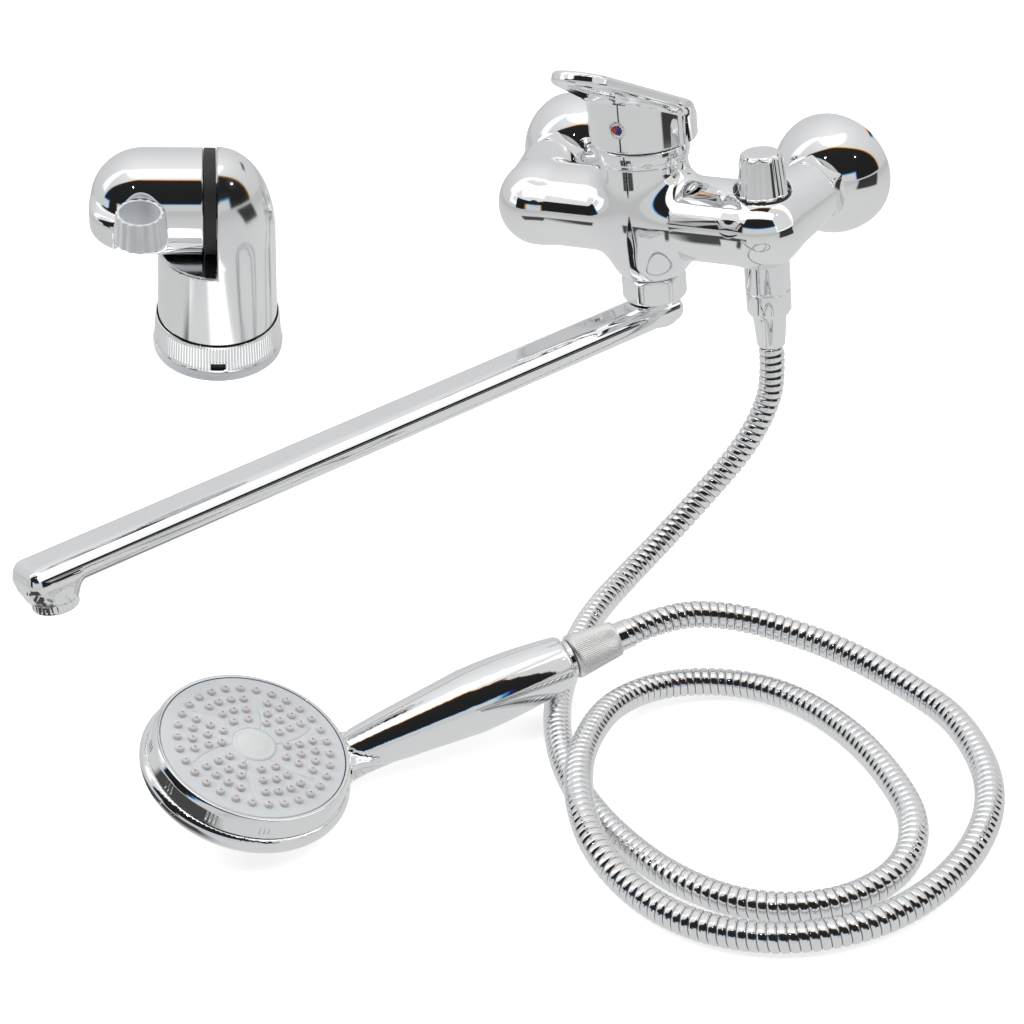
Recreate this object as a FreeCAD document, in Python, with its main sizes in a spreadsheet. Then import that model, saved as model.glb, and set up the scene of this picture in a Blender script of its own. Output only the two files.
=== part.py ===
import FreeCAD, Part
import math
import os

import Sketcher

Vector = FreeCAD.Vector
Rotation = FreeCAD.Rotation
Placement = FreeCAD.Placement

# Frame: X runs along the two wall inlets (right is +X), Y runs into the wall, Z is up.
# The origin lies on the wall face, half way between the inlets.

SIZES = {
    # mixer body
    "inlet_half": 75.0,
    "body_reach": 68.0,
    "column_radius": 23.0,
    "column_top": 27.0,
    "column_shoulder": -16.0,
    "column_foot": -37.5,
    "column_foot_radius": 16.5,
    "column_round": 26.0,
    "arm_radius": 22.0,
    "arm_drop": 5.0,
    "elbow_half": 64.0,
    "leg_end": 36.0,
    "leg_end_radius": 17.6,
    "inlet_bore": 6.5,
    "channel_bore": 4.0,
    "channel_back": 13.0,
    "channel_height": 5.0,
    "chamber_radius": 17.6,
    "chamber_floor": 2.0,
    "spout_bore": 9.2,
    "nipple_radius": 13.6,
    "nipple_length": 6.5,
    "fit_gap": 0.2,
    "face_gap": 0.3,
    # wall unions and rosettes
    "tail_radius": 10.48,
    "tail_length": 15.0,
    "union_radius": 12.2,
    "union_collar": 14.4,
    "union_collar_width": 3.0,
    "union_nut_corner": 17.2,
    "union_nut_length": 13.0,
    "union_washer": 2.0,
    "rosette_radius": 32.0,
    "rosette_wall": 1.3,
    "rosette_hole": 17.8,
    # cartridge and its cover
    "cartridge_boss": 14.0,
    "cartridge_boss_top": 33.0,
    "cartridge_well": 9.0,
    "cartridge_well_floor": 19.0,
    "carrier_top": 36.0,
    "carrier_slot_front": 6.9,
    "carrier_slot_back": 5.7,
    "pivot_pin_radius": 1.5,
    "running_gap": 0.05,
    "seat_play": 0.05,
    "cartridge_nut_radius": 20.0,
    "cover_radius": 24.0,
    "cover_bottom_radius": 23.4,
    "cover_bead": 1.8,
    "cover_edge": 35.2,
    "cover_crown": 38.0,
    "cover_mouth": 12.8,
    "cover_wall": 1.2,
    # lever
    "pivot_height": 32.0,
    "stem_radius": 3.8,
    "stem_bottom": 24.0,
    "stem_top": 53.0,
    "hub_radius": 26.8,
    "hub_cavity": 25.0,
    "hub_bottom": 37.0,
    "hub_ceiling": 42.5,
    "strap_radius": 28.4,
    "strap_overlap": 0.5,
    "strap_forward": 8.0,
    "wall_margin": 1.0,
    "blade_rise": 27.5,
    "blade_back_height": 44.7,
    "blade_length": 61.0,
    "blade_tip_radius": 16.0,
    "blade_thickness": 6.5,
    "blade_edge": 2.2,
    "slot_start": 34.0,
    "slot_end": 60.0,
    "slot_radius": 6.5,
    "plug_height": 49.5,
    "plug_radius": 4.4,
    "plug_length": 3.6,
    "plug_proud": 0.5,
    "grub_radius": 2.4,
    "grub_length": 10.0,
    # diverter
    "diverter_x": 66.0,
    "seat_height": 11.5,
    "seat_radius": 14.6,
    "knob_base_radius": 13.3,
    "knob_top_radius": 10.6,
    "knob_top": 34.5,
    "knob_edge": 1.6,
    "knob_flute": 4.2,
    "knob_flute_depth": 0.9,
    "bonnet_radius": 8.0,
    "bonnet_bottom": -8.0,
    "bonnet_collar": 10.4,
    "bonnet_collar_top": 16.0,
    "spindle_radius": 3.2,
    "spindle_bottom": -4.0,
    "spindle_top": 27.0,
    # shower outlet and hose end at the mixer
    "outlet_radius": 11.8,
    "outlet_bottom": -39.5,
    "outlet_tail_radius": 9.6,
    "outlet_tail_bottom": -47.0,
    "outlet_bore": 5.5,
    "outlet_flat": 10.9,
    "hose_nut_radius": 11.6,
    "hose_nut_bottom": -53.0,
    "hose_nut_shoulder": -50.5,
    "ferrule_top_radius": 8.8,
    "ferrule_end_radius": 7.2,
    "ferrule_bottom": -71.0,
    "hose_washer": 1.6,
    # hose
    "hose_radius": 6.7,
    "hose_groove": 0.6,
    "hose_bore": 4.2,
    "hose_ribs": 115.0,
    "hose_lead": 24.0,
    # spout
    "spout_turn": 21.0,
    "spout_length": 373.0,
    "spout_width": 24.0,
    "spout_height": 14.6,
    "spout_top": -51.8,
    "spout_back": 11.0,
    "spout_edge": 5.0,
    "spout_channel": 4.5,
    "stem_tube_radius": 9.0,
    "stem_tube_top": -30.0,
    "stem_neck_radius": 10.0,
    "stem_flange_radius": 12.8,
    "oring_minor": 0.8,
    "oring_major": 8.3,
    "oring_high": -32.5,
    "oring_low": -36.5,
    "spout_nut_corner": 17.6,
    "spout_nut_round": 16.9,
    "spout_nut_bottom": -51.4,
    "spout_nut_lip": 2.4,
    "spout_nut_turn": 38.0,
    "mouth_radius": 11.9,
    "mouth_drop": 5.2,
    "aerator_radius": 11.2,
    "aerator_bottom": -77.0,
    "aerator_lip": 9.4,
    "aerator_thread": 9.8,
    "aerator_thread_length": 8.0,
    "aerator_insert_height": 7.0,
    "aerator_jet_circle": 5.0,
    # handset
    "hand_x": -63.2,
    "hand_y": -401.9,
    "hand_z": -177.9,
    "hand_yaw": 51.9,
    "hand_pitch": -7.7,
    "hand_roll": 21.3,
    "face_tilt": 24.6,
    "face_height": 39.7,
    "face_radius": 43.6,
    "face_plate": 2.4,
    "face_crown": 1.2,
    "ring_outer": 47.0,
    "ring_lip": 45.4,
    "ring_depth": 10.5,
    "shell_depth": 35.0,
    "shell_flat": 12.0,
    "shell_round": 40.0,
    "shell_wall": 2.4,
    "badge_radius": 10.3,
    "badge_height": 1.3,
    "nub_radius": 1.35,
    "nub_height": 1.5,
    "nub_outer_circle": 36.0,
    "nub_wide_row": 29.0,
    "nub_middle_row": 22.0,
    "nub_narrow_row": 15.6,
    "mat_thickness": 1.6,
    "mat_radius": 41.0,
    "neck_start": 30.0,
    "neck_radius": 9.4,
    "neck_at": 52.0,
    "shoulder_radius": 12.6,
    "shoulder_at": 81.0,
    "belly_radius": 16.2,
    "belly_at": 122.0,
    "belly_round": 300.0,
    "grip_end": 174.0,
    "grip_end_radius": 12.8,
    "grip_rim": 2.0,
    "grip_bore": 5.0,
    "grip_socket": 10.0,
    "grip_socket_depth": 4.0,
    "end_ring_radius": 9.2,
    "end_ring_length": 2.8,
    "hand_nut_length": 24.2,
    "hand_nut_wide": 11.0,
    "hand_nut_narrow": 8.6,
    "hand_ferrule": 7.2,
    "hand_ferrule_length": 8.0,
    # wall bracket
    "stand_x": -99.8,
    "stand_y": -311.6,
    "stand_z": 14.2,
    "stand_yaw": 35.5,
    "stand_pitch": 8.1,
    "stand_roll": 14.9,
    "plate_radius": 30.0,
    "plate_height": 4.5,
    "lock_bottom_radius": 29.5,
    "lock_top_radius": 28.4,
    "lock_height": 14.0,
    "lock_slot_width": 6.4,
    "lock_slot_height": 2.9,
    "post_bottom_radius": 27.7,
    "post_top_radius": 26.2,
    "post_axis_height": 78.9,
    "post_wall": 2.4,
    "elbow_radius": 24.6,
    "bracket_radius": 23.7,
    "gasket_width": 5.5,
    "bracket_end": 55.6,
    "socket_x": 33.0,
    "socket_forward": 28.0,
    "socket_top": 13.4,
    "socket_bottom": -0.5,
    "socket_narrow": 8.8,
    "socket_wide": 10.2,
    "liner_wall": 1.7,
    "liner_groove": 0.8,
    "cradle_radius": 20.0,
    "cradle_x": 36.0,
    "cradle_forward": 8.0,
    "cradle_top": 6.0,
    "cradle_bottom": -10.0,
    "pin_radius": 8.0,
    "pin_length": 22.0,
    "wall_screw_radius": 2.2,
    "wall_screw_head": 4.2,
    "wall_screw_offset": 16.0,
    "wall_screw_length": 12.0,
}

document = FreeCAD.newDocument("bath_mixer")
sheet = document.addObject("Spreadsheet::Sheet", "Sizes")


class Size:
    """A number together with the sheet formula that it comes from."""

    def __init__(self, value, text):
        self.value = float(value)
        self.text = text

    def combine(self, other, sign, value, flipped=False):
        text = other.text if isinstance(other, Size) else "%.10g" % other
        pair = (text, self.text) if flipped else (self.text, text)
        return Size(value, "(%s %s %s)" % (pair[0], sign, pair[1]))

    def __add__(self, other):
        return self.combine(other, "+", self.value + number(other))

    def __radd__(self, other):
        return self.combine(other, "+", self.value + number(other), True)

    def __sub__(self, other):
        return self.combine(other, "-", self.value - number(other))

    def __rsub__(self, other):
        return self.combine(other, "-", number(other) - self.value, True)

    def __mul__(self, other):
        return self.combine(other, "*", self.value * number(other))

    def __rmul__(self, other):
        return self.combine(other, "*", self.value * number(other), True)

    def __truediv__(self, other):
        return self.combine(other, "/", self.value / number(other))

    def __neg__(self):
        return Size(-self.value, "(0 - %s)" % self.text)


def number(size):
    return size.value if isinstance(size, Size) else float(size)


class Sheet:
    """The named sizes, each read as a Size."""


def fill_sheet():
    sizes = Sheet()
    for row, (alias, value) in enumerate(SIZES.items(), start=1):
        sheet.set("A%d" % row, alias.replace("_", " "))
        sheet.set("B%d" % row, "%.10g" % value)
        sheet.setAlias("B%d" % row, alias)
        setattr(sizes, alias, Size(value, "Sizes.%s" % alias))
    document.recompute()
    return sizes


S = fill_sheet()
nodes = []


def node(item, label):
    item.Label = label
    nodes.append(item)
    return item


def bind(item, name, size):
    if isinstance(size, Size):
        item.setExpression(name, size.text)
    else:
        setattr(item, name, size)


def put(item, position=(0, 0, 0), turn=None):
    """Place an object: position in sizes or numbers, turn a Rotation."""
    base = Vector(*[number(value) for value in position])
    item.Placement = Placement(base, turn or Rotation())
    for letter, value in zip("xyz", position):
        if isinstance(value, Size):
            item.setExpression("Placement.Base.%s" % letter, value.text)
    return item


def put_whole(item, placement):
    item.Placement = placement
    return item


ALONG_X = Rotation(Vector(0, 1, 0), 90)
ALONG_Y = Rotation(Vector(1, 0, 0), -90)
TOWARD_FRONT = Rotation(Vector(1, 0, 0), 90)


def arc_between(first, second, radius):
    """Arc geometry between two points; a positive radius bulges to the right of the way."""
    dx = second[0] - first[0]
    dy = second[1] - first[1]
    span = math.hypot(dx, dy)
    rise = math.sqrt(max(radius * radius - span * span / 4, 0.0))
    side = 1.0 if radius > 0 else -1.0
    centre_x = (first[0] + second[0]) / 2 - side * dy / span * rise
    centre_y = (first[1] + second[1]) / 2 + side * dx / span * rise
    start, end = (first, second) if radius > 0 else (second, first)
    start_angle = math.atan2(start[1] - centre_y, start[0] - centre_x)
    end_angle = math.atan2(end[1] - centre_y, end[0] - centre_x)
    circle = Part.Circle(Vector(centre_x, centre_y, 0), Vector(0, 0, 1), abs(radius))
    return Part.ArcOfCircle(circle, start_angle, end_angle)


def outline_sketch(body, role, outline):
    """A closed sketch whose corners, and arc radii where given, are bound to the sheet."""
    sketch = body.newObject("Sketcher::SketchObject", body.Name + "_outline")
    for feature in body.Origin.OriginFeatures:
        if feature.Role == role:
            sketch.AttachmentSupport = [(feature, "")]
    sketch.MapMode = "FlatFace"
    count = len(outline)
    starts = []
    ends = []
    for index, corner in enumerate(outline):
        following = outline[(index + 1) % count]
        first = (number(corner[0]), number(corner[1]))
        second = (number(following[0]), number(following[1]))
        if len(corner) == 3:
            radius = number(corner[2])
            sketch.addGeometry(arc_between(first, second, radius), False)
            starts.append((index, 1 if radius > 0 else 2))
            ends.append((index, 2 if radius > 0 else 1))
        else:
            line = Part.LineSegment(Vector(first[0], first[1], 0), Vector(second[0], second[1], 0))
            sketch.addGeometry(line, False)
            starts.append((index, 1))
            ends.append((index, 2))
    for index in range(count):
        after = starts[(index + 1) % count]
        sketch.addConstraint(
            Sketcher.Constraint("Coincident", ends[index][0], ends[index][1], after[0], after[1]))
    for index, corner in enumerate(outline):
        place = starts[index]
        for kind, axis, value in (("DistanceX", -2, corner[0]), ("DistanceY", -1, corner[1])):
            if not isinstance(value, Size) and value == 0:
                rule = Sketcher.Constraint("PointOnObject", place[0], place[1], axis)
                sketch.addConstraint(rule)
                continue
            rule = Sketcher.Constraint(kind, -1, 1, place[0], place[1], number(value))
            slot = sketch.addConstraint(rule)
            if isinstance(value, Size):
                sketch.setExpression("Constraints[%d]" % slot, value.text)
        if len(corner) == 3:
            half_circle = abs(math.dist(
                [number(value) for value in corner[:2]],
                [number(value) for value in outline[(index + 1) % count][:2]])
                - 2 * abs(number(corner[2]))) < 1e-6
            if half_circle:
                sketch.addConstraint(Sketcher.Constraint("Horizontal", index, 3, index, 1))
                continue
            rule = Sketcher.Constraint("Radius", index, abs(number(corner[2])))
            slot = sketch.addConstraint(rule)
            if isinstance(corner[2], Size):
                text = corner[2].text if number(corner[2]) > 0 else "(0 - %s)" % corner[2].text
                sketch.setExpression("Constraints[%d]" % slot, text)
    return sketch


def turned(name, outline):
    """A body turned about its own Z axis from (radius, height) corners."""
    body = document.addObject("PartDesign::Body", name)
    sketch = outline_sketch(body, "XZ_Plane", outline)
    turn = body.newObject("PartDesign::Revolution", name + "_turn")
    turn.Profile = sketch
    turn.ReferenceAxis = (sketch, ["V_Axis"])
    turn.Angle = 360
    sketch.Visibility = False
    return body


def rod(name, radius, length, position=(0, 0, 0), turn=None):
    item = document.addObject("Part::Cylinder", name)
    bind(item, "Radius", radius)
    bind(item, "Height", length)
    return put(item, position, turn)


def taper(name, first, second, length, position=(0, 0, 0), turn=None):
    item = document.addObject("Part::Cone", name)
    bind(item, "Radius1", first)
    bind(item, "Radius2", second)
    bind(item, "Height", length)
    return put(item, position, turn)


def ball(name, radius, position=(0, 0, 0)):
    item = document.addObject("Part::Sphere", name)
    bind(item, "Radius", radius)
    return put(item, position)


def block(name, length, width, height, position=(0, 0, 0), turn=None):
    item = document.addObject("Part::Box", name)
    bind(item, "Length", length)
    bind(item, "Width", width)
    bind(item, "Height", height)
    return put(item, position, turn)


def hexagon(name, corner, length, position=(0, 0, 0), turn=None):
    item = document.addObject("Part::Prism", name)
    item.Polygon = 6
    bind(item, "Circumradius", corner)
    bind(item, "Height", length)
    return put(item, position, turn)


def ring(name, major, minor, position=(0, 0, 0), turn=None):
    item = document.addObject("Part::Torus", name)
    bind(item, "Radius1", major)
    bind(item, "Radius2", minor)
    return put(item, position, turn)


def joined(name, items):
    item = document.addObject("Part::MultiFuse", name)
    item.Shapes = items
    return item


def shared(name, items):
    item = document.addObject("Part::MultiCommon", name)
    item.Shapes = items
    return item


def cut(name, base, tool):
    item = document.addObject("Part::Cut", name)
    item.Base = base
    item.Tool = tool
    return item


def cut_all(name, base, tools):
    return cut(name, base, joined(name + "_tools", tools))


def loft(name, sections):
    item = document.addObject("Part::Loft", name)
    item.Sections = sections
    item.Solid = True
    item.Ruled = True
    return item


def circle(name, radius, position, turn=None):
    item = document.addObject("Part::Circle", name)
    bind(item, "Radius", radius)
    return put(item, position, turn)


FRONT_Y = -S.body_reach


# Mixer body: a cast column with two arms that bend back to the wall inlets.

def make_mixer_body():
    column = turned("column", [
        (0, S.column_foot),
        (S.column_foot_radius, S.column_foot, S.column_round),
        (S.column_radius, S.column_shoulder),
        (S.column_radius, S.column_top),
        (0, S.column_top)])
    put(column, (0, FRONT_Y, 0))
    arms = rod("arms", S.arm_radius, 2 * S.elbow_half, (-S.elbow_half, FRONT_Y, -S.arm_drop), ALONG_X)
    pieces = [column, arms]
    cuts = []
    nipple = rod("spout_nipple", S.nipple_radius, S.nipple_length + 4,
                 (0, FRONT_Y, S.column_foot - S.nipple_length))
    pieces.append(nipple)
    for side, sign in (("left", -1), ("right", 1)):
        pieces.append(ball(side + "_elbow", S.arm_radius,
                           (sign * S.elbow_half, FRONT_Y, -S.arm_drop)))
        start = circle(side + "_leg_start", S.arm_radius - 0.4,
                       (sign * S.elbow_half, FRONT_Y, -S.arm_drop), ALONG_Y)
        end = circle(side + "_leg_finish", S.leg_end_radius,
                     (sign * S.inlet_half, -S.leg_end, 0), ALONG_Y)
        pieces.append(loft(side + "_leg", [start, end]))
        depth = S.body_reach - S.channel_back - S.leg_end
        cuts.append(rod(side + "_inlet_bore", S.inlet_bore, depth + 2,
                        (sign * S.inlet_half, -S.leg_end + 1, 0), TOWARD_FRONT))
        reach = S.inlet_half - 8
        channel_x = -S.inlet_half if sign < 0 else Size(8, "8")
        cuts.append(rod(side + "_channel", S.channel_bore, reach,
                        (channel_x, FRONT_Y + S.channel_back, S.channel_height), ALONG_X))
    cuts.append(rod("chamber", S.chamber_radius, S.column_top - S.chamber_floor + 1,
                    (0, FRONT_Y, S.chamber_floor)))
    cuts.append(rod("spout_seat_bore", S.spout_bore, S.chamber_floor - S.column_foot + S.nipple_length + 2,
                    (0, FRONT_Y, S.column_foot - S.nipple_length - 1)))
    cuts.append(rod("mixed_channel", S.channel_bore, S.diverter_x - 4,
                    (0, FRONT_Y, -S.arm_drop - 8), ALONG_X))
    cuts.append(rod("diverter_seat", S.seat_radius, 20, (S.diverter_x, FRONT_Y, S.seat_height)))
    cuts.append(rod("diverter_bore", S.bonnet_radius + S.fit_gap, S.seat_height - S.bonnet_bottom + 1,
                    (S.diverter_x, FRONT_Y, S.bonnet_bottom)))
    cuts.append(rod("outlet_passage", S.outlet_bore, 30, (S.diverter_x, FRONT_Y, S.bonnet_bottom - 29)))
    casting = joined("casting", pieces)
    node(cut_all("mixer_body_cut", casting, cuts), "mixer_body")


def make_unions():
    for side, sign in (("left", -1), ("right", 1)):
        x = sign * S.inlet_half
        collar_back = S.leg_end - S.union_washer - S.union_collar_width
        union = turned(side + "_union_body", [
            (S.inlet_bore, -S.tail_length),
            (S.tail_radius, -S.tail_length),
            (S.tail_radius, 0),
            (S.union_radius, 0),
            (S.union_radius, collar_back),
            (S.union_collar, collar_back),
            (S.union_collar, collar_back + S.union_collar_width),
            (S.inlet_bore, collar_back + S.union_collar_width)])
        node(put(union, (x, 0, 0), TOWARD_FRONT), side + "_union")
        washer = turned(side + "_washer_body", [
            (S.inlet_bore, S.leg_end - S.union_washer),
            (S.union_collar - 0.4, S.leg_end - S.union_washer),
            (S.union_collar - 0.4, S.leg_end),
            (S.inlet_bore, S.leg_end)])
        node(put(washer, (x, 0, 0), TOWARD_FRONT), side + "_inlet_washer")
        nut_back = S.leg_end - S.union_nut_length
        hexagonal = hexagon(side + "_nut_hex", S.union_nut_corner, S.union_nut_length,
                            (x, -nut_back, 0), TOWARD_FRONT)
        bore = turned(side + "_nut_bore", [
            (0, nut_back - 1),
            (S.union_radius + S.face_gap, nut_back - 1),
            (S.union_radius + S.face_gap, collar_back - S.fit_gap),
            (S.union_collar + S.fit_gap, collar_back - S.fit_gap),
            (S.union_collar + S.fit_gap, S.leg_end + 1),
            (0, S.leg_end + 1)])
        put(bore, (x, 0, 0), TOWARD_FRONT)
        node(cut(side + "_nut_cut", hexagonal, bore), side + "_union_nut")
        inner = S.rosette_radius - S.rosette_wall
        hole_depth = Size(math.sqrt(number(S.rosette_radius) ** 2 - number(S.rosette_hole) ** 2),
                          "sqrt(Sizes.rosette_radius ^ 2 - Sizes.rosette_hole ^ 2)")
        inner_depth = Size(
            math.sqrt(number(inner) ** 2 - number(S.rosette_hole) ** 2),
            "sqrt((Sizes.rosette_radius - Sizes.rosette_wall) ^ 2 - Sizes.rosette_hole ^ 2)")
        rosette = turned(side + "_rosette_body", [
            (inner, 0),
            (S.rosette_radius, 0, S.rosette_radius),
            (S.rosette_hole, hole_depth),
            (S.rosette_hole, inner_depth, -inner)])
        node(put(rosette, (x, 0, 0), TOWARD_FRONT), side + "_rosette")


def make_cartridge():
    housing = turned("cartridge_body", [
        (0, S.chamber_floor),
        (S.chamber_radius - S.fit_gap, S.chamber_floor),
        (S.chamber_radius - S.fit_gap, S.column_top),
        (S.cartridge_boss, S.column_top),
        (S.cartridge_boss, S.cartridge_boss_top),
        (S.cartridge_well, S.cartridge_boss_top),
        (S.cartridge_well, S.cartridge_well_floor),
        (0, S.cartridge_well_floor)])
    node(put(housing, (0, FRONT_Y, 0)), "cartridge_housing")
    nut = turned("cartridge_nut_body", [
        (S.cartridge_boss + S.fit_gap, S.column_top),
        (S.cartridge_nut_radius, S.column_top),
        (S.cartridge_nut_radius, S.cartridge_boss_top),
        (S.cartridge_boss + S.fit_gap, S.cartridge_boss_top)])
    node(put(nut, (0, FRONT_Y, 0)), "cartridge_nut")
    inner = S.cartridge_nut_radius + S.fit_gap
    cover = turned("cover_body", [
        (inner, S.column_top),
        (S.cover_bottom_radius, S.column_top),
        (S.cover_bottom_radius, S.column_top + S.cover_bead),
        (S.cover_radius, S.column_top + S.cover_bead + 0.6),
        (S.cover_radius, S.cover_edge),
        (S.cover_radius - 2, S.cover_edge + 1.2),
        (S.cover_mouth, S.cover_crown),
        (S.cover_mouth, S.cover_crown - S.cover_wall),
        (inner, S.cover_edge - 0.4)])
    node(put(cover, (0, FRONT_Y, 0)), "cover_ring")
    carrier_blank = rod("carrier_blank", S.cartridge_well - S.running_gap,
                        S.carrier_top - S.cartridge_well_floor, (0, FRONT_Y, S.cartridge_well_floor))
    carrier_slot = block("carrier_slot", 2 * S.stem_radius + 0.1, S.carrier_slot_front + S.carrier_slot_back,
                         40, (-S.stem_radius - 0.05, FRONT_Y - S.carrier_slot_front,
                              S.stem_bottom - 1.4))
    pin_hole = rod("carrier_pin_hole", S.pivot_pin_radius, 40, (-20, FRONT_Y, S.pivot_height), ALONG_X)
    node(cut_all("carrier_cut", carrier_blank, [carrier_slot, pin_hole]), "cartridge_carrier")
    half_pin = S.cartridge_well - 1
    node(rod("pin_through", S.pivot_pin_radius, 2 * half_pin, (-half_pin, FRONT_Y, S.pivot_height),
             ALONG_X), "cartridge_pin")
    stem = turned("stem_body", [
        (0, S.stem_bottom),
        (S.stem_radius, S.stem_bottom),
        (S.stem_radius, S.stem_top),
        (0, S.stem_top)])
    put(stem, (0, FRONT_Y, 0))
    stem_hole = rod("stem_hole", S.pivot_pin_radius + S.running_gap, 40,
                    (-20, FRONT_Y, S.pivot_height), ALONG_X)
    node(cut("stem_cut", stem, stem_hole), "cartridge_stem")


def blade_sketch(body):
    """Plan of the blade: a large round over the hub that runs out tangent into a small round tip."""
    sketch = body.newObject("Sketcher::SketchObject", "blade_outline")
    for feature in body.Origin.OriginFeatures:
        if feature.Role == "XY_Plane":
            sketch.AttachmentSupport = [(feature, "")]
    sketch.MapMode = "FlatFace"
    reach = number(S.blade_length)
    small = number(S.blade_tip_radius)
    large = number(S.strap_radius)
    lean = math.asin((large - small) / reach)
    middle = Vector(0, -reach, 0)
    upward = Vector(0, 0, 1)
    side = Vector(math.cos(lean), -math.sin(lean), 0)
    other = Vector(-side.x, side.y, 0)
    back = Part.Circle(Vector(0, 0, 0), upward, large)
    tip = Part.Circle(middle, upward, small)
    sketch.addGeometry(Part.ArcOfCircle(back, -lean, math.pi + lean), False)
    sketch.addGeometry(Part.ArcOfCircle(tip, math.pi + lean, 2 * math.pi - lean), False)
    sketch.addGeometry(Part.LineSegment(other * large, middle + other * small), False)
    sketch.addGeometry(Part.LineSegment(middle + side * small, side * large), False)
    sketch.addConstraint(Sketcher.Constraint("Coincident", 0, 3, -1, 1))
    sketch.addConstraint(Sketcher.Constraint("PointOnObject", 1, 3, -2))
    for first, first_end, second, second_end in ((0, 2, 2, 1), (2, 2, 1, 1), (1, 2, 3, 1), (3, 2, 0, 1)):
        sketch.addConstraint(Sketcher.Constraint("Tangent", first, first_end, second, second_end))
    rules = [
        (Sketcher.Constraint("Radius", 0, large), S.strap_radius.text),
        (Sketcher.Constraint("Radius", 1, small), S.blade_tip_radius.text),
        (Sketcher.Constraint("DistanceY", -1, 1, 1, 3, -reach), "-" + S.blade_length.text)]
    for rule, text in rules:
        sketch.setExpression("Constraints[%d]" % sketch.addConstraint(rule), text)
    return sketch


def level_edges(shape):
    """Names of the edges that lie flat, which are a pad's upper and lower outlines."""
    return ["Edge%d" % index for index, edge in enumerate(shape.Edges, start=1)
            if abs(edge.BoundBox.ZMin - edge.BoundBox.ZMax) < 1e-6]


def make_lever():
    """Cup over the cartridge with a rising blade that has a long opening in it."""
    rise = math.radians(number(S.blade_rise))
    rising = Rotation(Vector(1, 0, 0), -number(S.blade_rise))
    blade_height = S.blade_back_height + S.strap_radius * math.tan(rise)
    root = (0, FRONT_Y, blade_height)
    blade = document.addObject("PartDesign::Body", "blade")
    pad = blade.newObject("PartDesign::Pad", "blade_pad")
    pad.Profile = blade_sketch(blade)
    bind(pad, "Length", S.blade_thickness)
    pad.Reversed = True
    document.recompute()
    round_off = blade.newObject("PartDesign::Fillet", "blade_edges")
    round_off.Base = (pad, level_edges(pad.Shape))
    bind(round_off, "Radius", S.blade_edge)
    put(blade, root, rising)
    through = 6 * S.blade_thickness
    opening = joined("slot_tool", [
        rod("slot_first", S.slot_radius, through, (0, -S.slot_start, -through / 2)),
        rod("slot_last", S.slot_radius, through, (0, -S.slot_end, -through / 2)),
        block("slot_middle", 2 * S.slot_radius, S.slot_end - S.slot_start, through,
              (-S.slot_radius, -S.slot_end, -through / 2))])
    put(opening, root, rising)
    top = S.blade_back_height + 2 * S.strap_radius
    cup = turned("cup", [
        (0, S.hub_ceiling),
        (S.hub_cavity, S.hub_ceiling),
        (S.hub_cavity, S.hub_bottom),
        (S.hub_radius, S.hub_bottom),
        (S.hub_radius, top),
        (0, top)])
    put(cup, (0, FRONT_Y, 0))
    strap = turned("strap_ring", [
        (S.hub_radius - S.strap_overlap, S.hub_bottom),
        (S.strap_radius, S.hub_bottom),
        (S.strap_radius, top),
        (S.hub_radius - S.strap_overlap, top)])
    put(strap, (0, FRONT_Y, 0))
    front_half = block("strap_front", 4 * S.strap_radius, 2 * S.strap_radius, 2 * top,
                       (-2 * S.strap_radius, FRONT_Y - 2 * S.strap_radius - S.strap_forward, 0))
    strap_back = cut("strap_back", strap, front_half)
    above = rod("above_blade", 4 * S.strap_radius, top,
                (0, FRONT_Y, blade_height - S.blade_thickness / (2 * math.cos(rise))), rising)
    hub = cut("hub_cut", joined("hub_sum", [cup, strap_back]), above)
    body = joined("lever_sum", [cut("blade_cut", blade, opening), hub])
    plug_back = FRONT_Y - S.hub_radius + S.plug_length - S.plug_proud
    socket_start = S.hub_ceiling - S.wall_margin
    tools = [
        rod("hub_cavity_space", S.hub_cavity, S.hub_ceiling - S.hub_bottom + S.wall_margin,
            (0, FRONT_Y, S.hub_bottom - S.wall_margin)),
        rod("stem_socket", S.stem_radius + S.seat_play, S.stem_top - socket_start + S.fit_gap,
            (0, FRONT_Y, socket_start)),
        rod("grub_hole", S.grub_radius + S.seat_play, S.hub_radius + S.wall_margin,
            (0, FRONT_Y - S.stem_radius + S.wall_margin, S.plug_height), TOWARD_FRONT),
        rod("plug_hole", S.plug_radius + S.seat_play, S.plug_length + S.wall_margin,
            (0, plug_back, S.plug_height), TOWARD_FRONT)]
    node(cut_all("lever_cut", body, tools), "lever_handle")
    node(rod("index_plug_body", S.plug_radius, S.plug_length, (0, plug_back, S.plug_height),
             TOWARD_FRONT), "index_plug")
    node(rod("grub_body", S.grub_radius, S.grub_length,
             (0, FRONT_Y - S.stem_radius, S.plug_height), TOWARD_FRONT), "lever_grub_screw")


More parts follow.
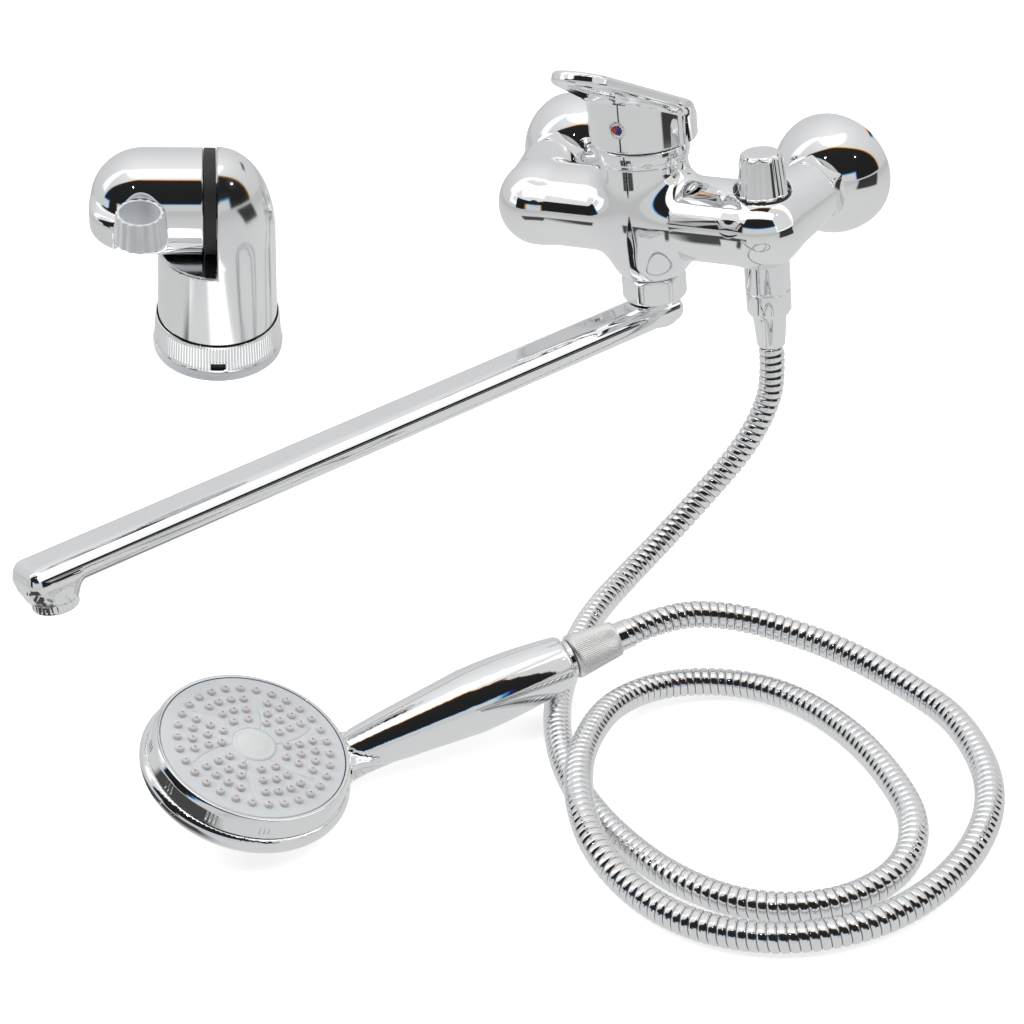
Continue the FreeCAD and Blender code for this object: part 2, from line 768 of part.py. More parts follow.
def make_diverter():
    bonnet = turned("bonnet_body", [
        (S.spindle_radius + S.fit_gap, S.bonnet_bottom),
        (S.bonnet_radius, S.bonnet_bottom),
        (S.bonnet_radius, S.seat_height),
        (S.bonnet_collar, S.seat_height),
        (S.bonnet_collar, S.bonnet_collar_top),
        (S.spindle_radius + S.fit_gap, S.bonnet_collar_top)])
    node(put(bonnet, (S.diverter_x, FRONT_Y, 0)), "diverter_bonnet")
    spindle = rod("spindle_body", S.spindle_radius, S.spindle_top - S.spindle_bottom,
                  (S.diverter_x, FRONT_Y, S.spindle_bottom))
    node(spindle, "diverter_spindle")
    inner = S.bonnet_collar + 0.5
    profile = turned("knob_blank", [
        (inner, S.seat_height + S.face_gap),
        (S.knob_base_radius, S.seat_height + S.face_gap),
        (S.knob_base_radius, S.seat_height + 1.4),
        (S.knob_top_radius, S.knob_top - S.knob_edge),
        (S.knob_top_radius - S.knob_edge, S.knob_top),
        (0, S.knob_top),
        (0, S.bonnet_collar_top + 2),
        (inner - 1.6, S.bonnet_collar_top + 2),
        (inner, S.bonnet_collar_top)])
    put(profile, (S.diverter_x, FRONT_Y, 0))
    flutes = []
    lean = math.degrees(math.atan2(SIZES["knob_base_radius"] - SIZES["knob_top_radius"],
                                   SIZES["knob_top"] - SIZES["seat_height"]))
    for index in range(8):
        angle = 45.0 * index + 22.5
        radius = S.knob_base_radius + S.knob_flute - S.knob_flute_depth
        direction = (math.cos(math.radians(angle)), math.sin(math.radians(angle)))
        turn = Rotation(Vector(0, 0, 1), angle).multiply(Rotation(Vector(0, 1, 0), -lean))
        flutes.append(rod("flute_%d" % index, S.knob_flute, 40,
                          (S.diverter_x + radius * direction[0], FRONT_Y + radius * direction[1],
                           S.seat_height + 2.4), turn))
    flutes.append(rod("spindle_socket", S.spindle_radius + 0.05, S.spindle_top - S.bonnet_collar_top,
                      (S.diverter_x, FRONT_Y, S.bonnet_collar_top + 1)))
    node(cut_all("knob_cut", profile, flutes), "diverter_knob")


def make_outlet():
    outlet = turned("outlet_body", [
        (S.outlet_bore, S.outlet_tail_bottom),
        (S.outlet_tail_radius, S.outlet_tail_bottom),
        (S.outlet_tail_radius, S.outlet_bottom),
        (S.outlet_radius, S.outlet_bottom),
        (S.outlet_radius, -S.arm_drop - S.arm_radius + 8),
        (S.outlet_bore, -S.arm_drop - S.arm_radius + 8)])
    put(outlet, (S.diverter_x, FRONT_Y, 0))
    arm_tool = rod("arm_tool", S.arm_radius, 80, (S.diverter_x - 40, FRONT_Y, -S.arm_drop), ALONG_X)
    flats = block("outlet_flats", 2 * S.outlet_flat, 2 * S.outlet_flat, 60,
                  (S.diverter_x - S.outlet_flat, FRONT_Y - S.outlet_flat, -60))
    node(cut("outlet_cut", shared("outlet_flatted", [outlet, flats]), arm_tool), "shower_outlet")
    washer_top = S.outlet_tail_bottom
    washer = turned("hose_washer_body", [
        (S.outlet_bore, washer_top - S.hose_washer),
        (S.outlet_tail_radius, washer_top - S.hose_washer),
        (S.outlet_tail_radius, washer_top),
        (S.outlet_bore, washer_top)])
    node(put(washer, (S.diverter_x, FRONT_Y, 0)), "hose_washer")
    nut = turned("hose_nut_body", [
        (S.ferrule_top_radius + S.fit_gap, S.hose_nut_bottom),
        (S.ferrule_top_radius + 1.4, S.hose_nut_bottom),
        (S.hose_nut_radius, S.hose_nut_shoulder),
        (S.hose_nut_radius, S.outlet_bottom),
        (S.outlet_tail_radius + S.fit_gap, S.outlet_bottom),
        (S.outlet_tail_radius + S.fit_gap, washer_top - S.hose_washer - 2.2),
        (S.ferrule_top_radius + S.fit_gap, washer_top - S.hose_washer - 2.2)])
    node(put(nut, (S.diverter_x, FRONT_Y, 0)), "hose_nut")
    ferrule = turned("ferrule_body", [
        (S.hose_bore, S.ferrule_bottom),
        (S.ferrule_end_radius, S.ferrule_bottom),
        (S.ferrule_top_radius, S.hose_nut_bottom),
        (S.ferrule_top_radius, washer_top - S.hose_washer - 2.2),
        (S.outlet_tail_radius, washer_top - S.hose_washer - 2.2),
        (S.outlet_tail_radius, washer_top - S.hose_washer),
        (S.hose_bore, washer_top - S.hose_washer)])
    node(put(ferrule, (S.diverter_x, FRONT_Y, 0)), "hose_ferrule")


# Spout: built along its own -Y and then swung about the column axis.

def make_spout():
    swing = Rotation(Vector(0, 0, 1), -number(S.spout_turn))
    place = Placement(Vector(0, number(FRONT_Y), 0), swing)
    width = S.spout_width / 2
    bar = document.addObject("PartDesign::Body", "bar")
    outline = [
        (width, -S.spout_length),
        (width, 0),
        (width - 4, S.spout_back),
        (-width + 4, S.spout_back),
        (-width, 0),
        (-width, -S.spout_length, width)]
    sketch = outline_sketch(bar, "XY_Plane", outline)
    pad = bar.newObject("PartDesign::Pad", "bar_pad")
    pad.Profile = sketch
    bind(pad, "Length", S.spout_height)
    pad.Reversed = True
    document.recompute()
    soften = bar.newObject("PartDesign::Fillet", "bar_edges")
    edges = []
    for index, edge in enumerate(pad.Shape.Edges, start=1):
        if abs(edge.BoundBox.ZMin - edge.BoundBox.ZMax) < 1e-6:
            edges.append("Edge%d" % index)
    soften.Base = (pad, edges)
    bind(soften, "Radius", S.spout_edge)
    put(bar, (0, 0, S.spout_top))
    bottom = S.spout_top - S.spout_height
    mouth = rod("mouth", S.mouth_radius, S.mouth_drop + 8,
                (0, -S.spout_length, bottom - S.mouth_drop))
    riser = turned("riser", [
        (0, S.spout_top - 6),
        (S.stem_neck_radius, S.spout_top - 6),
        (S.stem_neck_radius, S.spout_nut_bottom + S.spout_nut_lip + S.fit_gap),
        (S.stem_flange_radius, S.spout_nut_bottom + S.spout_nut_lip + S.fit_gap),
        (S.stem_flange_radius, S.column_foot - S.nipple_length - S.fit_gap),
        (S.stem_tube_radius, S.column_foot - S.nipple_length - S.fit_gap),
        (S.stem_tube_radius, S.stem_tube_top),
        (0, S.stem_tube_top)])
    groove_low = ring("groove_low", S.oring_major, S.oring_minor + 0.02, (0, 0, S.oring_low))
    groove_high = ring("groove_high", S.oring_major, S.oring_minor + 0.02, (0, 0, S.oring_high))
    middle = S.spout_top - S.spout_height / 2
    tools = [
        groove_low,
        groove_high,
        rod("spout_down_bore", 5.5, 40, (0, 0, middle)),
        rod("spout_channel_bore", S.spout_channel, S.spout_length, (0, 0, middle), TOWARD_FRONT),
        rod("spout_mouth_bore", S.aerator_thread + 0.05, S.aerator_thread_length + S.fit_gap,
            (0, -S.spout_length, bottom - S.mouth_drop)),
        rod("spout_mouth_throat", 6, S.spout_height / 2 + S.mouth_drop,
            (0, -S.spout_length, bottom - S.mouth_drop))]
    tube = cut_all("spout_cut", joined("spout_sum", [bar, mouth, riser]), tools)
    node(put_whole(tube, place), "spout_tube")
    node(put_whole(joined("orings", [
        ring("oring_low_ring", S.oring_major, S.oring_minor, (0, 0, S.oring_low)),
        ring("oring_high_ring", S.oring_major, S.oring_minor, (0, 0, S.oring_high))]),
        place), "spout_seals")
    housing = turned("aerator_body", [
        (0, S.aerator_bottom),
        (S.aerator_radius - 0.8, S.aerator_bottom),
        (S.aerator_radius, S.aerator_bottom + 0.8),
        (S.aerator_radius, bottom - S.mouth_drop),
        (S.aerator_thread, bottom - S.mouth_drop),
        (S.aerator_thread, bottom - S.mouth_drop + S.aerator_thread_length),
        (0, bottom - S.mouth_drop + S.aerator_thread_length)])
    put(housing, (0, -S.spout_length, 0))
    aerator_bore = rod("aerator_bore", S.aerator_lip - 0.8, 30,
                       (0, -S.spout_length, S.aerator_bottom + 1.6))
    aerator_opening = rod("aerator_opening", S.aerator_lip - 1.6, 10,
                          (0, -S.spout_length, S.aerator_bottom - 5))
    node(put_whole(cut_all("aerator_cut", housing, [aerator_bore, aerator_opening]), place),
         "aerator_housing")
    insert = rod("aerator_insert_body", S.aerator_lip - 0.85, S.aerator_insert_height,
                 (0, -S.spout_length, S.aerator_bottom + 1.6))
    jets = []
    for index in range(6):
        angle = math.radians(60.0 * index)
        jets.append(rod("aerator_jet_%d" % index, 1.1, 20,
                        (S.aerator_jet_circle * math.cos(angle),
                         S.aerator_jet_circle * math.sin(angle) - S.spout_length,
                         S.aerator_bottom - 5)))
    node(put_whole(cut_all("insert_cut", insert, jets), place), "aerator_insert")
    nut_bottom = S.spout_nut_bottom
    nut_top = S.column_foot - S.fit_gap
    nut_blank = shared("spout_nut_blank", [
        hexagon("spout_nut_hex", S.spout_nut_corner, nut_top - nut_bottom, (0, FRONT_Y, nut_bottom),
                Rotation(Vector(0, 0, 1), number(S.spout_nut_turn))),
        rod("spout_nut_round_off", S.spout_nut_round, nut_top - nut_bottom, (0, FRONT_Y, nut_bottom))])
    nut_bore = turned("spout_nut_bore", [
        (0, nut_bottom - 1),
        (S.stem_neck_radius + S.fit_gap, nut_bottom - 1),
        (S.stem_neck_radius + S.fit_gap, nut_bottom + S.spout_nut_lip),
        (S.nipple_radius + 0.05, nut_bottom + S.spout_nut_lip),
        (S.nipple_radius + 0.05, nut_top + 1),
        (0, nut_top + 1)])
    put(nut_bore, (0, FRONT_Y, 0))
    node(cut("spout_nut_cut", nut_blank, nut_bore), "spout_nut")


# Handset: its handle runs along its own X and the spray face leans toward the handle.

def hand_place():
    yaw = Rotation(Vector(0, 0, 1), number(S.hand_yaw))
    pitch = Rotation(Vector(0, 1, 0), number(S.hand_pitch))
    roll = Rotation(Vector(1, 0, 0), number(S.hand_roll))
    base = Vector(number(S.hand_x), number(S.hand_y), number(S.hand_z))
    return Placement(base, yaw.multiply(pitch).multiply(roll))


def face_place():
    lean = Placement(Vector(0, 0, 0), Rotation(Vector(0, 1, 0), number(S.face_tilt)))
    lift = Placement(Vector(0, 0, number(S.face_height)), Rotation())
    return lean.multiply(lift)


OUTER_NUBS = 30
NUB_SECTORS = 6
SECTOR_START = 36.5
SECTOR_SWIRL = 0.28


def nub_spots():
    """Nozzle places: six sectors with rows of two, three and four, and a circle round them."""
    spots = []
    circle_step = 360.0 / OUTER_NUBS
    for index in range(OUTER_NUBS):
        spots.append((S.nub_outer_circle, (index + 0.5) * circle_step))
    rows = (
        (S.nub_narrow_row, (-13.8, 13.8)),
        (S.nub_middle_row, (-16.5, 0.0, 16.5)),
        (S.nub_wide_row, (-18.7, -6.5, 6.5, 18.7)))
    for sector in range(NUB_SECTORS):
        middle = SECTOR_START + sector * 360.0 / NUB_SECTORS
        for radius, angles in rows:
            swirl = (number(radius) - number(S.nub_wide_row)) * SECTOR_SWIRL
            for angle in angles:
                spots.append((radius, middle + angle + swirl))
    return [(radius * math.cos(math.radians(angle)), radius * math.sin(math.radians(angle)))
            for radius, angle in spots]


def make_handset():
    whole = hand_place()
    face = whole.multiply(face_place())
    back_radius = S.ring_outer - 0.4
    shell = turned("shell", [
        (0, -S.shell_depth),
        (S.shell_flat, -S.shell_depth, S.shell_round),
        (back_radius, -S.ring_depth - 2),
        (back_radius, -S.ring_depth),
        (0, -S.ring_depth)])
    put_whole(shell, face_place())
    grip = turned("grip", [
        (0, S.neck_start),
        (S.neck_radius, S.neck_start),
        (S.neck_radius, S.neck_at),
        (S.shoulder_radius, S.shoulder_at),
        (S.belly_radius, S.belly_at, S.belly_round),
        (S.grip_end_radius, S.grip_end - S.grip_rim),
        (S.grip_end_radius - 1.4, S.grip_end),
        (S.grip_socket, S.grip_end),
        (S.grip_socket, S.grip_end - S.grip_socket_depth),
        (0, S.grip_end - S.grip_socket_depth)])
    put(grip, (0, 0, 0), ALONG_X)
    ring_space = turned("ring_space", [
        (0, -S.ring_depth),
        (S.ring_outer + 2, -S.ring_depth),
        (S.ring_outer + 2, 30),
        (0, 30)])
    put_whole(ring_space, face_place())
    rim = S.mat_radius + S.fit_gap
    hollow = turned("head_hollow", [
        (0, S.shell_wall - S.shell_depth),
        (S.shell_flat, S.shell_wall - S.shell_depth, S.shell_round - S.shell_wall),
        (rim, -S.ring_depth - S.shell_wall),
        (rim, S.wall_margin - S.ring_depth),
        (0, S.wall_margin - S.ring_depth)])
    put_whole(hollow, face_place())
    bore = rod("grip_bore", S.grip_bore, S.grip_end - S.neck_start, (S.neck_start, 0, 0), ALONG_X)
    root = ball("neck_root", S.neck_radius, (S.neck_start, 0, 0))
    solid = cut_all("hand_cut", joined("hand_sum", [shell, grip, root]), [ring_space, hollow, bore])
    node(put_whole(solid, whole), "handset_body")
    spray_ring = turned("spray_ring_body", [
        (S.face_radius + S.fit_gap, -S.ring_depth + S.fit_gap),
        (S.ring_outer, -S.ring_depth + S.fit_gap),
        (S.ring_outer, -2.6),
        (S.ring_lip, 0),
        (S.face_radius + S.fit_gap, 0)])
    node(put_whole(spray_ring, face), "spray_ring")
    plate_tools = []
    plate = turned("plate_blank", [
        (S.badge_radius + 0.1, -S.face_plate),
        (S.face_radius, -S.face_plate),
        (S.face_radius, -0.4),
        (S.badge_radius + 0.1, S.face_crown - 0.4)])
    for index, spot in enumerate(nub_spots()):
        plate_tools.append(rod("nub_hole_%d" % index, S.nub_radius + 0.1, 8, (spot[0], spot[1], -5)))
    plate_cut = cut_all("plate_cut", plate, plate_tools)
    node(put_whole(plate_cut, face), "spray_face")
    nub_height = S.nub_height + S.face_plate + S.face_crown
    mat = [rod("mat", S.mat_radius, S.mat_thickness, (0, 0, -S.face_plate - S.mat_thickness))]
    for index, spot in enumerate(nub_spots()):
        mat.append(taper("nub_%d" % index, S.nub_radius, S.nub_radius - 0.25, nub_height,
                         (spot[0], spot[1], -S.face_plate - 0.4)))
    node(put_whole(joined("mat_sum", mat), face), "nozzle_mat")
    deck = turned("deck_body", [
        (0, -S.ring_depth),
        (S.face_radius, -S.ring_depth),
        (S.face_radius, -S.face_plate),
        (S.mat_radius + 0.1, -S.face_plate),
        (S.mat_radius + 0.1, -S.face_plate - S.mat_thickness),
        (0, -S.face_plate - S.mat_thickness)])
    node(put_whole(deck, face), "jet_plate")
    badge = turned("badge_body", [
        (0, -S.face_plate),
        (S.badge_radius, -S.face_plate),
        (S.badge_radius, S.face_crown - 0.4),
        (S.badge_radius - 2.6, S.face_crown - 0.4 + 0.6 * S.badge_height),
        (S.badge_radius / 2, S.face_crown - 0.4 + S.badge_height),
        (0, S.face_crown - 0.4 + S.badge_height)])
    node(put_whole(badge, face), "centre_badge")
    nut_start = S.grip_end + S.end_ring_length
    nut_end = nut_start + S.hand_nut_length
    tail_end = nut_end + S.hand_ferrule_length
    end_ring = turned("end_ring_body", [
        (0, S.grip_end - S.grip_socket_depth),
        (S.grip_socket, S.grip_end - S.grip_socket_depth),
        (S.grip_socket, S.grip_end),
        (S.end_ring_radius, S.grip_end),
        (S.end_ring_radius, nut_start),
        (0, nut_start)])
    put(end_ring, (0, 0, 0), ALONG_X)
    ring_bore = rod("end_ring_bore", S.hose_bore, 60, (S.grip_end - 30, 0, 0), ALONG_X)
    node(put_whole(cut("end_ring_cut", end_ring, ring_bore), whole), "handset_end_ring")
    nut = turned("hand_nut_body", [
        (0, nut_start),
        (S.hand_nut_wide - 0.6, nut_start),
        (S.hand_nut_wide, nut_start + 0.8),
        (S.hand_nut_narrow, nut_end),
        (0, nut_end)])
    put(nut, (0, 0, 0), ALONG_X)
    nut_bore = rod("hand_nut_bore", S.hand_ferrule + S.fit_gap, 80, (S.grip_end - 20, 0, 0), ALONG_X)
    node(put_whole(cut("hand_nut_cut", nut, nut_bore), whole), "handset_nut")
    tail = rod("hand_ferrule_body", S.hand_ferrule, tail_end - nut_start, (nut_start, 0, 0), ALONG_X)
    tail_bore = rod("hand_ferrule_bore", S.hose_bore, 80, (S.grip_end - 20, 0, 0), ALONG_X)
    node(put_whole(cut("hand_ferrule_cut", tail, tail_bore), whole), "handset_ferrule")


def ferrule_end():
    """Where the hose leaves the handset, and the way that it points."""
    whole = hand_place()
    length = number(S.grip_end) + number(S.end_ring_length)
    length += number(S.hand_nut_length) + number(S.hand_ferrule_length)
    tip = whole.multVec(Vector(length, 0, 0))
    way = whole.Rotation.multVec(Vector(1, 0, 0))
    return tip, way


# Hose: from the shower outlet down to the surface that it lies on, twice round, to the handset.

HOSE_POINTS = [
    (66.0, -68.0, -92.0),
    (61.5, -72.5, -109.0),
    (53.0, -82.0, -127.0),
    (39.5, -98.5, -145.0),
    (26.0, -123.0, -162.0),
    (17.0, -152.0, -172.5),
    (14.0, -190.0, -177.3),
    (24.0, -232.0, -177.3),
    (41.0, -279.0, -177.3),
    (72.0, -324.5, -177.3),
    (110.0, -356.5, -177.3),
    (155.0, -380.5, -177.3),
    (196.0, -386.5, -177.3),
    (229.0, -371.0, -177.3),
    (245.0, -340.0, -177.3),
    (238.0, -304.0, -177.3),
    (214.0, -274.0, -177.3),
    (181.0, -245.0, -177.3),
    (143.0, -225.5, -177.3),
    (110.0, -223.0, -177.3),
    (82.0, -239.5, -174.5),
    (70.5, -268.0, -170.5),
    (74.0, -299.0, -166.3),
    (84.0, -332.0, -163.2),
    (101.0, -362.5, -163.6),
    (122.0, -386.0, -168.5),
    (152.0, -401.0, -176.0),
    (188.0, -408.0, -177.3),
    (225.0, -398.5, -177.3),
    (255.5, -369.0, -177.3),
    (268.5, -321.5, -177.3),
    (261.0, -268.0, -177.3),
    (227.0, -221.0, -176.0),
    (192.5, -205.5, -171.5),
    (157.0, -197.5, -164.5),
    (126.5, -199.5, -157.5),
    (103.5, -205.5, -151.5),
]


def hose_route():
    start = Vector(number(S.diverter_x), number(FRONT_Y), number(S.ferrule_bottom))
    tip, way = ferrule_end()
    corners = [start] + [Vector(*point) for point in HOSE_POINTS]
    corners.append(tip + way * number(S.hose_lead))
    corners.append(tip)
    return corners


def rounded_route(corners):
    """Straight runs joined by tangent arcs; returns the edges, samples of the line and the radii."""
    edges = []
    samples = []
    radii = []
    last = corners[0]
    way = (corners[1] - corners[0]).normalize()
    samples.append((last, way))
    step = number(S.hose_radius) / 2
    for before, corner, after in zip(corners, corners[1:], corners[2:]):
        incoming = corner - before
        outgoing = after - corner
        shorter = min(incoming.Length, outgoing.Length)
        reach = 0.45 * shorter
        inward = Vector(incoming).normalize()
        onward = Vector(outgoing).normalize()
        half = inward.getAngle(onward) / 2
        radius = reach / math.tan(half)
        radii.append(radius)
        first = corner - inward * reach
        second = corner + onward * reach
        bisector = (onward - inward).normalize()
        centre = corner + bisector * (radius / math.cos(half))
        middle = centre - bisector * radius
        edges.append(Part.LineSegment(last, first).toShape())
        edges.append(Part.Arc(first, middle, second).toShape())
        length = (first - last).Length
        for index in range(1, max(int(length / step), 1) + 1):
            samples.append((last + inward * (length * index / max(int(length / step), 1)), inward))
        turns = max(int(2 * half * radius / step), 2)
        for index in range(1, turns + 1):
            angle = 2 * half * index / turns
            offset = (first - centre)
            point = centre + offset * math.cos(angle) + inward * (radius * math.sin(angle))
            tangent = inward * math.cos(angle) + bisector_turn(inward, onward, half) * math.sin(angle)
            samples.append((point, tangent))
        last = second
    final = corners[-1]
    edges.append(Part.LineSegment(last, final).toShape())
    way = (final - last).normalize()
    length = (final - last).Length
    count = max(int(length / step), 1)
    for index in range(1, count + 1):
        samples.append((last + way * (length * index / count), way))
    return edges, samples, radii


def bisector_turn(inward, onward, half):
    """Unit vector square to the incoming way, toward the side that the route turns to."""
    return ((onward - inward * math.cos(2 * half)) * (1.0 / math.sin(2 * half))).normalize()


def along(samples, distances):
    """Points and ways at given distances along the sampled line."""
    found = []
    travelled = 0.0
    index = 0
    for distance in distances:
        while index < len(samples) - 2:
            gap = (samples[index + 1][0] - samples[index][0]).Length
            if travelled + gap >= distance:
                break
            travelled += gap
            index += 1
        gap = (samples[index + 1][0] - samples[index][0]).Length
        part = min(max((distance - travelled) / gap, 0.0), 1.0)
        point = samples[index][0] + (samples[index + 1][0] - samples[index][0]) * part
        way = (samples[index][1] * (1 - part) + samples[index + 1][1] * part).normalize()
        found.append((point, way))
    return found


def steady_circles(stations, radii_list):
    """Circle wires square to the line, their X axes carried along without a twist."""
    first_way = stations[0][1]
    axis = Vector(1, 0, 0) - first_way * first_way.x
    axis.normalize()
    wires = []
    for (point, way), radius in zip(stations, radii_list):
        axis = axis - way * axis.dot(way)
        axis.normalize()
        curve = Part.Circle(point, way, radius)
        curve.XAxis = axis
        wires.append(Part.Wire([curve.toShape()]))
    return wires


def make_hose():
    corners = hose_route()
    edges, samples, radii = rounded_route(corners)
    print("hose bend radii", " ".join("%.0f" % radius for radius in radii))
    path = Part.Wire(edges)
    length = path.Length
    print("hose length %.1f" % length)
    radius = number(S.hose_radius)
    low = radius - number(S.hose_groove)
    bore = number(S.hose_bore)
    count = int(number(S.hose_ribs))
    plain = 2 * radius
    pitch = (length - 2 * plain) / count
    distances = [0.0]
    outer = [radius]
    for index in range(count):
        start = plain + index * pitch
        for share, size in ((0.08, low), (0.28, low), (0.42, radius), (0.94, radius)):
            distances.append(start + share * pitch)
            outer.append(size)
    distances.append(length)
    outer.append(radius)
    stations = along(samples, distances)
    stations[0] = (corners[0], samples[0][1])
    stations[-1] = (corners[-1], samples[-1][1])
    outside = Part.makeLoft(steady_circles(stations, outer), False, True)
    inner_marks = [0.0] + [length * index / 150 for index in range(1, 150)] + [length]
    inner_stations = along(samples, inner_marks)
    inner_stations[0] = (corners[0], samples[0][1])
    inner_stations[-1] = (corners[-1], samples[-1][1])
    inside = Part.makeLoft(steady_circles(inner_stations, [bore] * len(inner_marks)), False, True)
    ends = []
    for station in (stations[0], stations[-1]):
        rims = steady_circles([station, station], [radius, bore])
        ends.append(Part.makeFace(rims, "Part::FaceMakerBullseye"))
    lining = [face.reversed() for face in inside.Faces]
    shell = Part.Compound(outside.Faces + lining + ends)
    shell.sewShape()
    solid = Part.makeSolid(shell.Shells[0])
    solid.fix(0.001, 0.001, 0.001)
    print("hose shells", len(shell.Shells), "faces", len(solid.Faces), "valid", solid.isValid())
    section = math.pi * (radius ** 2 - bore ** 2)
    print("hose volume share %.3f" % (solid.Volume / (section * length)))
    item = document.addObject("Part::Feature", "hose_solid")
    item.Shape = solid
    node(item, "shower_hose")


# Wall bracket: stands by itself with its base down; its column axis is its own Z.

def stand_place():
    yaw = Rotation(Vector(0, 0, 1), number(S.stand_yaw))
    pitch = Rotation(Vector(0, 1, 0), number(S.stand_pitch))
    roll = Rotation(Vector(1, 0, 0), number(S.stand_roll))
    base = Vector(number(S.stand_x), number(S.stand_y), number(S.stand_z))
    return Placement(base, yaw.multiply(pitch).multiply(roll))


LINER_GROOVES = 16


